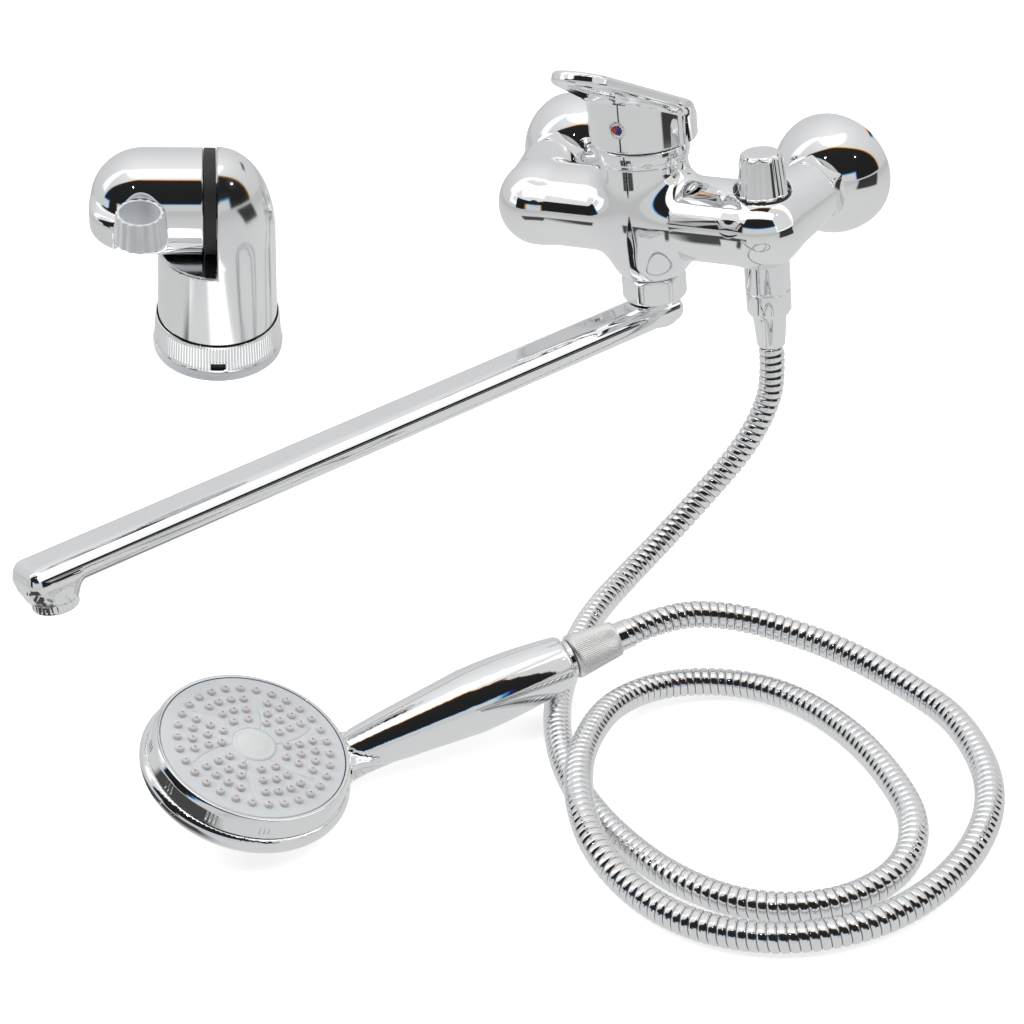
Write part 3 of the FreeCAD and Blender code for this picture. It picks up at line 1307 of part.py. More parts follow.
def make_bracket():
    whole = stand_place()
    lock_bottom = S.plate_height
    lock_top = S.plate_height + S.lock_height
    screw_spots = [(S.wall_screw_offset, 0), (-S.wall_screw_offset, 0)]
    plate = turned("wall_plate_body", [
        (0, 0),
        (S.plate_radius, 0),
        (S.plate_radius, S.plate_height - 1.2),
        (S.plate_radius - 0.8, S.plate_height),
        (S.post_bottom_radius - S.post_wall - S.fit_gap, S.plate_height),
        (S.post_bottom_radius - S.post_wall - S.fit_gap, S.plate_height + 5),
        (S.post_bottom_radius - S.post_wall - 3, S.plate_height + 5),
        (S.post_bottom_radius - S.post_wall - 3, S.plate_height),
        (0, S.plate_height)])
    holes = [rod("plate_hole_%d" % index, S.wall_screw_radius + 0.1, 20, (spot[0], spot[1], -5))
             for index, spot in enumerate(screw_spots)]
    node(put_whole(cut_all("wall_plate_cut", plate, holes), whole), "bracket_wall_plate")
    screws = []
    for index, spot in enumerate(screw_spots):
        screws.append(rod("screw_shank_%d" % index, S.wall_screw_radius, S.wall_screw_length,
                          (spot[0], spot[1], S.plate_height - S.wall_screw_length)))
        screws.append(rod("screw_head_%d" % index, S.wall_screw_head, 2.4,
                          (spot[0], spot[1], S.plate_height)))
    node(put_whole(joined("wall_screws_sum", screws), whole), "bracket_wall_screws")
    lock = turned("lock_body", [
        (S.post_bottom_radius + S.fit_gap, lock_bottom),
        (S.lock_bottom_radius, lock_bottom),
        (S.lock_top_radius, lock_top),
        (S.post_bottom_radius + S.fit_gap, lock_top)])
    window = block("lock_window", S.lock_slot_width, 20, S.lock_slot_height,
                   (-S.lock_slot_width / 2, -S.lock_bottom_radius - 10, lock_bottom + 1.6))
    node(put_whole(cut("lock_cut", lock, window), whole), "bracket_lock_ring")
    post = turned("post", [
        (S.post_bottom_radius - S.post_wall, lock_bottom),
        (S.post_bottom_radius, lock_bottom),
        (S.post_bottom_radius, lock_top),
        (S.post_top_radius, S.post_axis_height - S.elbow_radius / 2),
        (S.elbow_radius, S.post_axis_height),
        (0, S.post_axis_height),
        (0, S.post_axis_height - S.bracket_radius - 4),
        (S.post_top_radius - S.post_wall, S.post_axis_height - S.bracket_radius - 4)])
    dome = ball("post_dome", S.elbow_radius, (0, 0, S.post_axis_height))
    notch = block("post_notch", 60, 80, 60,
                  (-60, -40, S.post_axis_height - S.bracket_radius - S.fit_gap))
    pin_hole = rod("pin_hole", S.pin_radius + 0.05, S.pin_length / 2 + 1,
                   (-1, 0, S.post_axis_height), ALONG_X)
    node(put_whole(cut_all("post_cut", joined("post_sum", [post, dome]), [notch, pin_hole]), whole),
         "bracket_column")
    gasket = rod("gasket_body", S.bracket_radius, S.gasket_width, (0, 0, S.post_axis_height),
                 Rotation(Vector(0, 1, 0), -90))
    gasket_hole = rod("gasket_hole", S.pin_radius + S.fit_gap, 40, (-20, 0, S.post_axis_height), ALONG_X)
    node(put_whole(cut("gasket_cut", gasket, gasket_hole), whole), "bracket_gasket")
    pin = rod("pin_body", S.pin_radius, S.pin_length, (S.pin_length / 2 - 0.4, 0, S.post_axis_height),
              Rotation(Vector(0, 1, 0), -90))
    pin_hex = hexagon("pin_hex", 2.9, 5, (S.pin_length / 2 - 4, 0, S.post_axis_height), ALONG_X)
    node(put_whole(cut("pin_cut", pin, pin_hex), whole), "bracket_pivot")
    round_start = S.bracket_end - S.bracket_radius
    barrel = rod("barrel", S.bracket_radius, round_start - S.gasket_width,
                 (-S.gasket_width, 0, S.post_axis_height), Rotation(Vector(0, 1, 0), -90))
    barrel_end = ball("barrel_end", S.bracket_radius, (-round_start, 0, S.post_axis_height))
    cradle = rod("cradle", S.cradle_radius, S.cradle_top - S.cradle_bottom,
                 (-S.cradle_x, -S.cradle_forward, S.post_axis_height + S.cradle_bottom))
    liner_outer_top = S.socket_narrow + S.liner_wall
    liner_outer_bottom = S.socket_wide + S.liner_wall
    seat = taper("socket_seat", liner_outer_bottom + 0.05, liner_outer_top + 0.05,
                 S.socket_top - S.socket_bottom,
                 (-S.socket_x, -S.socket_forward, S.post_axis_height + S.socket_bottom))
    above = rod("socket_above", liner_outer_top + 0.05, 40,
                (-S.socket_x, -S.socket_forward, S.post_axis_height + S.socket_top - 0.01))
    below = rod("socket_below", liner_outer_bottom + 0.05, 30,
                (-S.socket_x, -S.socket_forward, S.post_axis_height + S.socket_bottom - 29.99))
    head_pin_hole = rod("head_pin_hole", S.pin_radius + 0.05, S.pin_length,
                        (S.pin_length / 2 - S.pin_length - 0.8, 0, S.post_axis_height), ALONG_X)
    head = cut_all("bracket_head_cut", joined("bracket_head_sum", [barrel, barrel_end, cradle]),
                   [seat, above, below, head_pin_hole])
    node(put_whole(head, whole), "bracket_head")
    liner_blank = taper("liner_blank", liner_outer_bottom, liner_outer_top,
                        S.socket_top - S.socket_bottom,
                        (-S.socket_x, -S.socket_forward, S.post_axis_height + S.socket_bottom))
    liner_hole = taper("liner_hole", S.socket_wide, S.socket_narrow, S.socket_top - S.socket_bottom,
                       (-S.socket_x, -S.socket_forward, S.post_axis_height + S.socket_bottom))
    grooves = []
    taper_lean = math.degrees(math.atan2(
        number(S.socket_wide) - number(S.socket_narrow),
        number(S.socket_top) - number(S.socket_bottom)))
    for index in range(LINER_GROOVES):
        angle = 360.0 * index / LINER_GROOVES
        outward = (math.cos(math.radians(angle)), math.sin(math.radians(angle)))
        turn = Rotation(Vector(0, 0, 1), angle).multiply(Rotation(Vector(0, 1, 0), -taper_lean))
        grooves.append(rod("liner_groove_%d" % index, S.liner_groove,
                           S.socket_top - S.socket_bottom + 2 * S.wall_margin,
                           (liner_outer_bottom * outward[0] - S.socket_x,
                            liner_outer_bottom * outward[1] - S.socket_forward,
                            S.post_axis_height + S.socket_bottom - S.wall_margin), turn))
    liner_ring = cut("liner_ring", liner_blank, liner_hole)
    liner = cut_all("liner_cut", liner_ring, grooves)
    node(put_whole(liner, whole), "bracket_liner")


def check_and_write():
    document.recompute()
    for item in document.Objects:
        for word in ("Invalid", "Error"):
            if word in item.State:
                raise RuntimeError("%s is %s" % (item.Label, item.State))
    os.makedirs("parts", exist_ok=True)
    for item in nodes:
        shape = item.Shape
        if shape.isNull() or not shape.isValid():
            raise RuntimeError("bad shape in " + item.Label)
        shape.exportStep(os.path.join("parts", item.Label + ".step"))
        print("%-22s solids %d volume %10.1f" % (item.Label, len(shape.Solids), shape.Volume))


make_mixer_body()
make_unions()
make_cartridge()
make_lever()
make_diverter()
make_outlet()
make_spout()
make_handset()
make_hose()
make_bracket()
check_and_write()
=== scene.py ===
import math

import bmesh
import bpy
import numpy as np
from mathutils import Matrix, Vector


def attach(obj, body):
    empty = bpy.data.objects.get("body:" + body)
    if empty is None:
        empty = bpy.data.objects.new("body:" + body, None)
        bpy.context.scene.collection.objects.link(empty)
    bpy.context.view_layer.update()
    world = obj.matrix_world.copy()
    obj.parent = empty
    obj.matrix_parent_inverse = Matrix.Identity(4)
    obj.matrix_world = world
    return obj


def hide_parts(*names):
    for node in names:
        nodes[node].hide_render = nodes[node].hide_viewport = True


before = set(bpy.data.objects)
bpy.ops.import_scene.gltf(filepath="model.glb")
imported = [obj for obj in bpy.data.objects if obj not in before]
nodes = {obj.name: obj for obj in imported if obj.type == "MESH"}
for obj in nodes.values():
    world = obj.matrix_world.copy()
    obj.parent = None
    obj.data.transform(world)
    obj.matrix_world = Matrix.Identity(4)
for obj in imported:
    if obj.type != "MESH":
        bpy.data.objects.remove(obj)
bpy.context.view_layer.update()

# Sizes are in millimetres in the same frame as the CAD: X right along the inlets, Y into the wall, Z up.
MM = 0.001


def add_object(name, data):
    item = bpy.data.objects.new(name, data)
    bpy.context.scene.collection.objects.link(item)
    return item


def turn(axis, degrees):
    return Matrix.Rotation(math.radians(degrees), 4, axis)


def shift(x, y, z):
    return Matrix.Translation((x, y, z))


# Frames of the pieces: each piece is drawn in its own upright frame and then set in its place.
WORLD = Matrix.Identity(4)
COLUMN = shift(0, -68, 0)
LEFT_WALL = shift(-75, 0, 0) @ turn("X", 90)
RIGHT_WALL = shift(75, 0, 0) @ turn("X", 90)
DIVERTER = shift(66, -68, 0)
SPOUT = COLUMN @ turn("Z", -21)
MOUTH = SPOUT @ shift(0, -373, 0)
HAND = shift(-63.2, -401.9, -177.9) @ turn("Z", 51.9) @ turn("Y", -7.7) @ turn("X", 21.3)
GRIP = HAND @ turn("Y", 90)
FACE = HAND @ turn("Y", 24.6) @ shift(0, 0, 39.7)
STAND = shift(-99.8, -311.6, 14.2) @ turn("Z", 35.5) @ turn("Y", 8.1) @ turn("X", 14.9)
TILT_HEIGHT = 78.9
TILT_AXIS = STAND @ shift(0, 0, TILT_HEIGHT) @ turn("Y", -90)


# Materials: each one is a principled surface with its own fine variation and bump.

NOISE_DETAIL = 3.0
METAL_MOTTLE = 28.0
METAL_RELIEF = 0.12
PLASTIC_MOTTLE = 45.0
PLASTIC_RELIEF = 0.25
COAT_ROUGHNESS = 0.08


def new_material(name):
    material = bpy.data.materials.new(name)
    material.use_nodes = True
    tree = material.node_tree
    return material, tree, tree.nodes["Principled BSDF"]


def noise(tree, scale):
    place = tree.nodes.new("ShaderNodeTexCoord")
    texture = tree.nodes.new("ShaderNodeTexNoise")
    texture.inputs["Scale"].default_value = scale
    texture.inputs["Detail"].default_value = NOISE_DETAIL
    tree.links.new(place.outputs["Object"], texture.inputs["Vector"])
    return texture.outputs["Fac"]


def spread(tree, value, low, high, first=0.3, last=0.7):
    step = tree.nodes.new("ShaderNodeMapRange")
    step.inputs["From Min"].default_value = first
    step.inputs["From Max"].default_value = last
    step.inputs["To Min"].default_value = low
    step.inputs["To Max"].default_value = high
    tree.links.new(value, step.inputs["Value"])
    return step.outputs["Result"]


def two_colours(tree, value, first, second):
    mix = tree.nodes.new("ShaderNodeMix")
    mix.data_type = "RGBA"
    mix.inputs["A"].default_value = (*first, 1)
    mix.inputs["B"].default_value = (*second, 1)
    tree.links.new(value, mix.inputs["Factor"])
    return mix.outputs["Result"]


def bump(tree, shader, value, strength, distance):
    step = tree.nodes.new("ShaderNodeBump")
    step.inputs["Strength"].default_value = strength
    step.inputs["Distance"].default_value = distance * MM
    tree.links.new(value, step.inputs["Height"])
    tree.links.new(step.outputs["Normal"], shader.inputs["Normal"])


def vary(tree, shader, mottle, colours, grain, roughness, relief, depth):
    """Colour that changes over broad mottles, and roughness and bump over fine grain."""
    broad = noise(tree, mottle)
    fine = noise(tree, grain)
    tree.links.new(two_colours(tree, spread(tree, broad, 0, 1), *colours), shader.inputs["Base Color"])
    tree.links.new(spread(tree, fine, *roughness), shader.inputs["Roughness"])
    bump(tree, shader, fine, relief, depth)


def make_metal(name, dull, bright, smooth, rough, grain, depth):
    """Metal whose colour, roughness and surface vary a little over fine grain."""
    material, tree, shader = new_material(name)
    shader.inputs["Metallic"].default_value = 1.0
    vary(tree, shader, METAL_MOTTLE, (dull, bright), grain, (smooth, rough), METAL_RELIEF, depth)
    return material


def make_plastic(name, dull, bright, smooth, rough, grain, depth, coat=0.0, sheen=0.0):
    """Moulded plastic or rubber with a fine moulded grain."""
    material, tree, shader = new_material(name)
    shader.inputs["Coat Weight"].default_value = coat
    shader.inputs["Coat Roughness"].default_value = COAT_ROUGHNESS
    shader.inputs["Sheen Weight"].default_value = sheen
    vary(tree, shader, PLASTIC_MOTTLE, (dull, bright), grain, (smooth, rough), PLASTIC_RELIEF, depth)
    return material


CHROME = make_metal("chrome", (0.83, 0.84, 0.85), (0.87, 0.875, 0.88), 0.035, 0.055, 900, 0.004)
POST_CHROME = make_metal("post_chrome", (0.83, 0.84, 0.85), (0.87, 0.875, 0.88), 0.1, 0.14, 900, 0.004)
HOSE_CHROME = make_metal("hose_chrome", (0.82, 0.83, 0.84), (0.88, 0.885, 0.89), 0.09, 0.15, 700, 0.01)
# Painted shade: the hose's grooves are the same steel, coloured dark to stand for the shade in them.
HOSE_GROOVE_SHADE = make_metal("hose_groove", (0.16, 0.16, 0.17), (0.28, 0.28, 0.29), 0.3, 0.45, 700, 0.01)
SATIN = make_metal("satin_metal", (0.78, 0.78, 0.77), (0.86, 0.86, 0.85), 0.24, 0.36, 1400, 0.02)
STEEL = make_metal("steel", (0.55, 0.55, 0.56), (0.7, 0.7, 0.71), 0.22, 0.36, 1100, 0.02)
BRASS = make_metal("plated_brass", (0.66, 0.62, 0.52), (0.76, 0.72, 0.62), 0.16, 0.28, 900, 0.02)
RUBBER = make_plastic("black_rubber", (0.012, 0.012, 0.012), (0.022, 0.022, 0.022), 0.45, 0.62, 800, 0.05)
WASHER = make_plastic("washer_rubber", (0.05, 0.05, 0.05), (0.08, 0.08, 0.08), 0.6, 0.75, 800, 0.05)
WHITE_PLASTIC = make_plastic("white_plastic", (0.72, 0.72, 0.70), (0.8, 0.8, 0.78), 0.38, 0.5, 900, 0.03)
GREY_PLASTIC = make_plastic("grey_plastic", (0.62, 0.64, 0.66), (0.7, 0.72, 0.73), 0.35, 0.48, 900, 0.03)
FACE_PLASTIC = make_plastic("face_plastic", (0.56, 0.585, 0.61), (0.61, 0.63, 0.65), 0.26, 0.36, 1300, 0.02)
NOZZLE = make_plastic("nozzle_silicone", (0.55, 0.525, 0.525), (0.61, 0.58, 0.58), 0.42, 0.56, 1500, 0.03,
                      sheen=0.15)
BADGE = make_plastic("badge_plastic", (0.58, 0.62, 0.62), (0.66, 0.68, 0.675), 0.16, 0.24, 600, 0.01,
                     coat=0.6)
LINER = make_plastic("liner_plastic", (0.58, 0.6, 0.62), (0.68, 0.7, 0.72), 0.16, 0.26, 900, 0.02)
RED = make_plastic("red_mark", (0.3, 0.012, 0.008), (0.38, 0.018, 0.012), 0.2, 0.3, 1500, 0.01, coat=0.6)
BLUE = make_plastic("blue_mark", (0.01, 0.025, 0.16), (0.015, 0.035, 0.22), 0.2, 0.3, 1500, 0.01, coat=0.6)
# Painted shade: near-black put into gaps, seams and the lock ring's window where shade falls.
PAINTED_SHADE = make_plastic("painted_gap_shade", (0.008, 0.008, 0.009), (0.016, 0.016, 0.017), 0.5, 0.7, 900, 0.03)


# Pieces from mesh code.

def finish_piece(item, body, replaced=()):
    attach(item, body)
    if replaced:
        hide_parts(*replaced)


def mesh_piece(name, points, faces, place, materials, crease=32.0):
    """A mesh object from points in millimetres in their own frame."""
    matrix = np.array(place)
    world = (np.asarray(points, float) @ matrix[:3, :3].T + matrix[:3, 3]) * MM
    mesh = bpy.data.meshes.new(name)
    mesh.from_pydata(world.tolist(), [], faces)
    shell = bmesh.new()
    shell.from_mesh(mesh)
    bmesh.ops.recalc_face_normals(shell, faces=shell.faces)
    shell.to_mesh(mesh)
    shell.free()
    mesh.shade_smooth()
    mesh.set_sharp_from_angle(angle=math.radians(crease))
    for material in materials:
        mesh.materials.append(material)
    return add_object(name, mesh)


# Rounds take up to this share of a profile's shorter run, and turn by this angle from point to point.
ROUND_ROOM = 0.48
ROUND_STEP = 0.28


def corner_round(spot, before, after, size):
    """Points of the round at one corner, given the ways to the corners before and after it."""
    room = ROUND_ROOM * min(np.linalg.norm(before), np.linalg.norm(after))
    before = before / np.linalg.norm(before)
    after = after / np.linalg.norm(after)
    half = math.acos(np.clip(before @ after, -0.99999, 0.99999)) / 2
    reach = min(size / math.tan(half), room)
    pieces = max(2, int((math.pi - 2 * half) / ROUND_STEP))
    spots = []
    for part in range(pieces + 1):
        share = part / pieces
        first = spot + before * reach * (1 - share)
        second = spot + after * reach * share
        spots.append(first * (1 - share) + second * share)
    return spots


def divided(line, closed, step):
    """The same line with its long runs divided."""
    spots = []
    total = len(line) if closed else len(line) - 1
    for index in range(total):
        start = line[index]
        end = line[(index + 1) % len(line)]
        runs = max(1, int(np.linalg.norm(end - start) / step))
        for run in range(runs):
            spots.append(start + (end - start) * run / runs)
    if not closed:
        spots.append(line[-1])
    return np.array(spots)


def rounded(corners, closed, step):
    """Points of a profile that is given as (radius, height) or (radius, height, round) corners."""
    fine = []
    count = len(corners)
    for index, corner in enumerate(corners):
        spot = np.array(corner[:2], float)
        end = not closed and index in (0, count - 1)
        if len(corner) == 2 or end:
            fine.append(spot)
            continue
        before = np.array(corners[index - 1][:2], float) - spot
        after = np.array(corners[(index + 1) % count][:2], float) - spot
        fine.extend(corner_round(spot, before, after, corner[2]))
    return divided(fine, closed, step)


def turned_mesh(corners, closed=True, segments=96, shape=None, step=8.0):
    """Points and faces of a profile turned about Z; shape changes its radius by place and angle."""
    profile = rounded(corners, closed, step)
    angles = np.arange(segments) * 2 * math.pi / segments
    radius = np.repeat(profile[:, :1], segments, axis=1)
    height = np.repeat(profile[:, 1:], segments, axis=1)
    angle = np.repeat(angles[None, :], len(profile), axis=0)
    if shape:
        radius, height = shape(radius, height, angle)
    points = np.stack([radius * np.cos(angle), radius * np.sin(angle), height], -1).reshape(-1, 3)
    faces = []
    rows = len(profile)
    for row in range(rows if closed else rows - 1):
        after = (row + 1) % rows
        for column in range(segments):
            beside = (column + 1) % segments
            faces.append((row * segments + column, row * segments + beside,
                          after * segments + beside, after * segments + column))
    if not closed:
        faces.append(tuple(range(segments)))
        faces.append(tuple((rows - 1) * segments + column for column in range(segments)))
    return points, faces


def turned_part(name, corners, place, material, body, slot, replaced=(), **ways):
    """A turned piece that rides on its body and stands for the CAD nodes that it replaces."""
    points, faces = turned_mesh(corners, **ways)
    finish_piece(mesh_piece(name, points, faces, place, [material]), body, replaced)


def hexagonal(flat, softness=0.5):
    """Shape that keeps a turned profile inside a hexagon of that half width over its flats."""
    def shape(radius, height, angle):
        sector = (angle + math.pi / 6) % (math.pi / 3) - math.pi / 6
        side = flat / np.cos(sector)
        return -soft_least(-radius, -side, softness, upper=True), height
    return shape


def soft_least(first, second, size, upper=False):
    """Least of two values, or with upper the greatest, rounded off where they meet."""
    sign = -1.0 if upper else 1.0
    first, second = sign * first, sign * second
    share = np.clip(0.5 + 0.5 * (second - first) / size, 0, 1)
    return sign * (second * (1 - share) + first * share - size * share * (1 - share))


def soft_most(first, second, size):
    return soft_least(first, second, size, upper=True)


def eased_corner(first, second, size):
    """Meeting of two half spaces with a round of that radius."""
    outward = np.hypot(np.maximum(first + size, 0), np.maximum(second + size, 0))
    return np.minimum(np.maximum(first + size, second + size), 0) + outward - size


def eased(value):
    value = np.clip(value, 0, 1)
    return value * value * (3 - 2 * value)


# Cast and moulded pieces: the CAD form with its corners run into each other in smooth fillets.

# A point moves only where its surface and the shape agree by more than this, as a cosine.
FACES_AWAY = 0.25
# Pulls onto the shape in one round, then the share of the way to the middle of the neighbours.
PULLS = 3
EVENING = 0.6
# Distance that a shape gives where the CAD form stays.
KEPT = 99.0


def read_numbers(items, field, width=3, kind=float):
    values = np.empty(len(items) * width, kind)
    items.foreach_get(field, values)
    return values.reshape(-1, width)


def slopes(distance, points, step=0.05):
    found = np.empty_like(points)
    for axis in range(3):
        move = np.zeros(3)
        move[axis] = step
        found[:, axis] = (distance(points + move) - distance(points - move)) / (2 * step)
    return found


def evened(points, edges, held, amount):
    """Each point moves part of the way to the middle of its neighbours."""
    count = np.bincount(edges.ravel(), minlength=len(points)).astype(float)
    total = np.empty_like(points)
    for axis in range(3):
        total[:, axis] = np.bincount(edges[:, 0], points[edges[:, 1], axis], len(points))
        total[:, axis] += np.bincount(edges[:, 1], points[edges[:, 0], axis], len(points))
    middle = total / np.maximum(count, 1)[:, None]
    return np.where(held[:, None], points, points + amount * (middle - points))


def even_mesh(name, node, grain):
    """A copy of a CAD node's mesh, remade with faces of one size."""
    source = add_object(name + "_source", nodes[node].data.copy())
    remesh = source.modifiers.new("even", "REMESH")
    remesh.mode = "VOXEL"
    remesh.voxel_size = grain * MM
    graph = bpy.context.evaluated_depsgraph_get()
    mesh = bpy.data.meshes.new_from_object(source.evaluated_get(graph))
    bpy.data.objects.remove(source)
    mesh.materials.clear()
    return mesh


def settled(points, distance, pairs, held, rounds):
    """Points pulled onto the shape in rounds, and evened out between the rounds."""
    for turn_number in range(rounds):
        for pull in range(PULLS):
            slope = slopes(distance, points)
            steep = np.maximum((slope ** 2).sum(1), 0.05)
            move = slope * (distance(points) / steep)[:, None]
            points = np.where(held[:, None], points, points - move)
        if turn_number < rounds - 1:
            points = evened(points, pairs, held, EVENING)
    return points


def cast_piece(name, node, place, distance, material, grain, reach=4.0, rounds=4, warp=None):
    """A copy of a CAD node whose points are settled on a smooth distance shape.

    Points farther from the shape than reach, or where the shape is KEPT, stay where the CAD has them.
    """
    mesh = even_mesh(name, node, grain)
    pairs = read_numbers(mesh.edges, "vertices", 2, int)
    matrix = np.array(place)
    turned_by = matrix[:3, :3]
    local = (read_numbers(mesh.vertices, "co") / MM - matrix[:3, 3]) @ turned_by
    normals = read_numbers(mesh.vertices, "normal") @ turned_by
    if warp:
        local = warp(local)
    slope = slopes(distance, local)
    steep = np.maximum(np.linalg.norm(slope, axis=1), 0.2)
    agree = np.einsum("ij,ij->i", slope, normals) / steep
    held = (np.abs(distance(local)) > reach) | (agree < FACES_AWAY)
    local = settled(local, distance, pairs, held, rounds)
    slope = slopes(distance, local)
    slope /= np.maximum(np.linalg.norm(slope, axis=1), 1e-6)[:, None]
    world = (local @ turned_by.T + matrix[:3, 3]) * MM
    mesh.vertices.foreach_set("co", world.ravel())
    mesh.update()
    mesh.shade_smooth()
    exact = np.where(held[:, None], read_numbers(mesh.vertices, "normal"), slope @ turned_by.T)
    mesh.normals_split_custom_set_from_vertices(exact.tolist())
    mesh.materials.append(material)
    return add_object(name, mesh)


def apart(points):
    return points[:, 0], points[:, 1], points[:, 2]


def capsule(x, y, z, start, end, first, second):
    """Distance to a rod with round ends that narrows from the first radius to the second."""
    axis = np.array(end, float) - np.array(start, float)
    length = np.linalg.norm(axis)
    axis /= length
    px, py, pz = x - start[0], y - start[1], z - start[2]
    along = np.clip(px * axis[0] + py * axis[1] + pz * axis[2], 0, length)
    gap = np.sqrt((px - axis[0] * along) ** 2 + (py - axis[1] * along) ** 2 + (pz - axis[2] * along) ** 2)
    return gap - (first + (second - first) * along / length)


COLUMN_RADIUS = 23
COLUMN_TOP = 27
COLUMN_FOOT = -37.5
WAIST = -19.96
FOOT_ROUND = 26
ARM_RADIUS = 22
ELBOW = 64
ARM_HEIGHT = -5
LEG_END = 32
KNOB_SEAT_RADIUS = 14.6
KNOB_SEAT_HEIGHT = 11.5


def body_shape(points):
    """Column, two arms and the legs that bend back to the wall."""
    x, y, z = apart(points)
    across = np.hypot(x, y)
    foot = np.where(z < WAIST, np.hypot(across + 2.7, z - WAIST) - FOOT_ROUND, across - 23.3)
    column = soft_most(across - COLUMN_RADIUS, foot, 2.5)
    column = soft_most(column, COLUMN_FOOT - z, 1.6)
    column = soft_most(column, z - COLUMN_TOP, 1.0)
    arms = capsule(x, y, z, (-ELBOW, 0, ARM_HEIGHT), (ELBOW, 0, ARM_HEIGHT), ARM_RADIUS, ARM_RADIUS)
    whole = soft_least(column, arms, 9.0)
    for side in (-1, 1):
        leg = capsule(x, y, z, (side * ELBOW, 0, ARM_HEIGHT), (side * 76.5, 36.4, 0.7), ARM_RADIUS, 17.0)
        leg = soft_most(leg, y - LEG_END, 1.6)
        whole = soft_least(whole, leg, 4.0)
    seat = np.maximum(np.hypot(x - 66, y) - KNOB_SEAT_RADIUS, KNOB_SEAT_HEIGHT - z)
    return soft_most(whole, -seat, 0.8)


BLADE_RISE = math.radians(27.5)
BLADE_HEIGHT = 59.48
BLADE_REACH = 61.0
BLADE_WIDE = 28.4
BLADE_SLIM = 16.0
BLADE_THICK = 6.5
DISH_DEPTH = 2.6
CUP_RADIUS = 26.8
CUP_FOOT = 37
SLOT_MIDDLE = 47
SLOT_HALF = 13
SLOT_RADIUS = 6.5
HUB_SPACE = 20
HUB_TOP = 50


def lever_shape(points):
    """Cup with a strap round its back and a rising blade that has a long opening."""
    x, y, z = apart(points)
    lift = z - BLADE_HEIGHT
    along = y * math.cos(BLADE_RISE) - lift * math.sin(BLADE_RISE)
    up = y * math.sin(BLADE_RISE) + lift * math.cos(BLADE_RISE)
    across = np.hypot(x, y)
    lean = (BLADE_WIDE - BLADE_SLIM) / BLADE_REACH
    straight = math.sqrt(1 - lean * lean)
    side = np.abs(x)
    run = -along
    guide = -lean * side + straight * run
    plan = np.where(guide < 0, np.hypot(side, run) - BLADE_WIDE,
                    np.where(guide > straight * BLADE_REACH, np.hypot(side, run - BLADE_REACH) - BLADE_SLIM,
                             straight * side + lean * run - BLADE_WIDE))
    dish = DISH_DEPTH * eased((-plan - 1.0) / 11.0) * eased((run + 22) / 30)
    blade = eased_corner(plan, np.maximum(up + dish, -BLADE_THICK - up), 2.2)
    strap = soft_most(across - BLADE_WIDE, -8.0 - y, 2.0)
    strap = soft_most(strap, up + 1.0, 4.0)
    cup = soft_least(across - CUP_RADIUS, strap, 1.2)
    cup = eased_corner(cup, up + 3.2, 1.5)
    cup = soft_most(cup, CUP_FOOT - z, 0.9)
    whole = soft_least(cup, blade, 3.0)
    opening = np.hypot(x, np.maximum(np.abs(run - SLOT_MIDDLE) - SLOT_HALF, 0)) - SLOT_RADIUS
    whole = soft_most(whole, -opening, 1.8)
    return np.where((across < HUB_SPACE) & (z < HUB_TOP), KEPT, whole)


BAR_HALF = 12
BAR_END = -387.5
BAR_START = 11
BAR_MIDDLE = 59.1
BAR_HALF_HEIGHT = 7.3
BAR_ROUND = 6.8
CORNER_ROUND = 5.5
MOUTH_PLACE = -373
MOUTH_RADIUS = 12.3
MOUTH_FOOT = -71.6
STEM_FOOT = -51.2


def spout_shape(points):
    """Flat bar with rounded edges and a mouth below its far end, square above and round below."""
    x, y, z = apart(points)
    width = np.abs(x) - BAR_HALF
    far = eased_corner(width, BAR_END - y, CORNER_ROUND)
    bar_sides = eased_corner(width, y - BAR_START, 4.6)
    plan = np.where(y < MOUTH_PLACE, far, bar_sides)
    bar = eased_corner(plan, np.abs(z + BAR_MIDDLE) - BAR_HALF_HEIGHT, BAR_ROUND)
    end = eased_corner(width, np.abs(y + 374.5) - 13, CORNER_ROUND)
    narrowed = eased((-64 - z) / 9)
    side = end * (1 - narrowed) + (np.hypot(x, y + 373.5) - MOUTH_RADIUS) * narrowed
    mouth = eased_corner(side, MOUTH_FOOT - z, 0.7)
    mouth = np.maximum(mouth, z + 60)
    riser = np.maximum(np.hypot(x, y) - 10, z + 45)
    whole = soft_least(soft_least(bar, mouth, 2.5), riser, 1.0)
    return np.where(z > STEM_FOOT, KEPT, whole)


NECK_RADIUS = 9.4
GRIP_SWELL = 6.8
GRIP_WIDEST = 122
GRIP_END = 174
HEAD_LEAN = math.radians(24.6)
HEAD_HEIGHT = 39.7
HEAD_RADIUS = 49.8
HEAD_CROWN = 15.8
HEAD_RIM = -15
HEAD_TOP = 10.5


def grip_radius(x):
    rising = NECK_RADIUS + GRIP_SWELL * eased((x - 44) / 78)
    return np.where(x < GRIP_WIDEST, rising, 16.2 - 3.4 * (np.maximum(x - GRIP_WIDEST, 0) / 50) ** 2)


def head_axes(x, z):
    """Place along the head's face and height over it."""
    along = x * math.cos(HEAD_LEAN) - z * math.sin(HEAD_LEAN)
    over = z * math.cos(HEAD_LEAN) + x * math.sin(HEAD_LEAN) - HEAD_HEIGHT
    return along, over


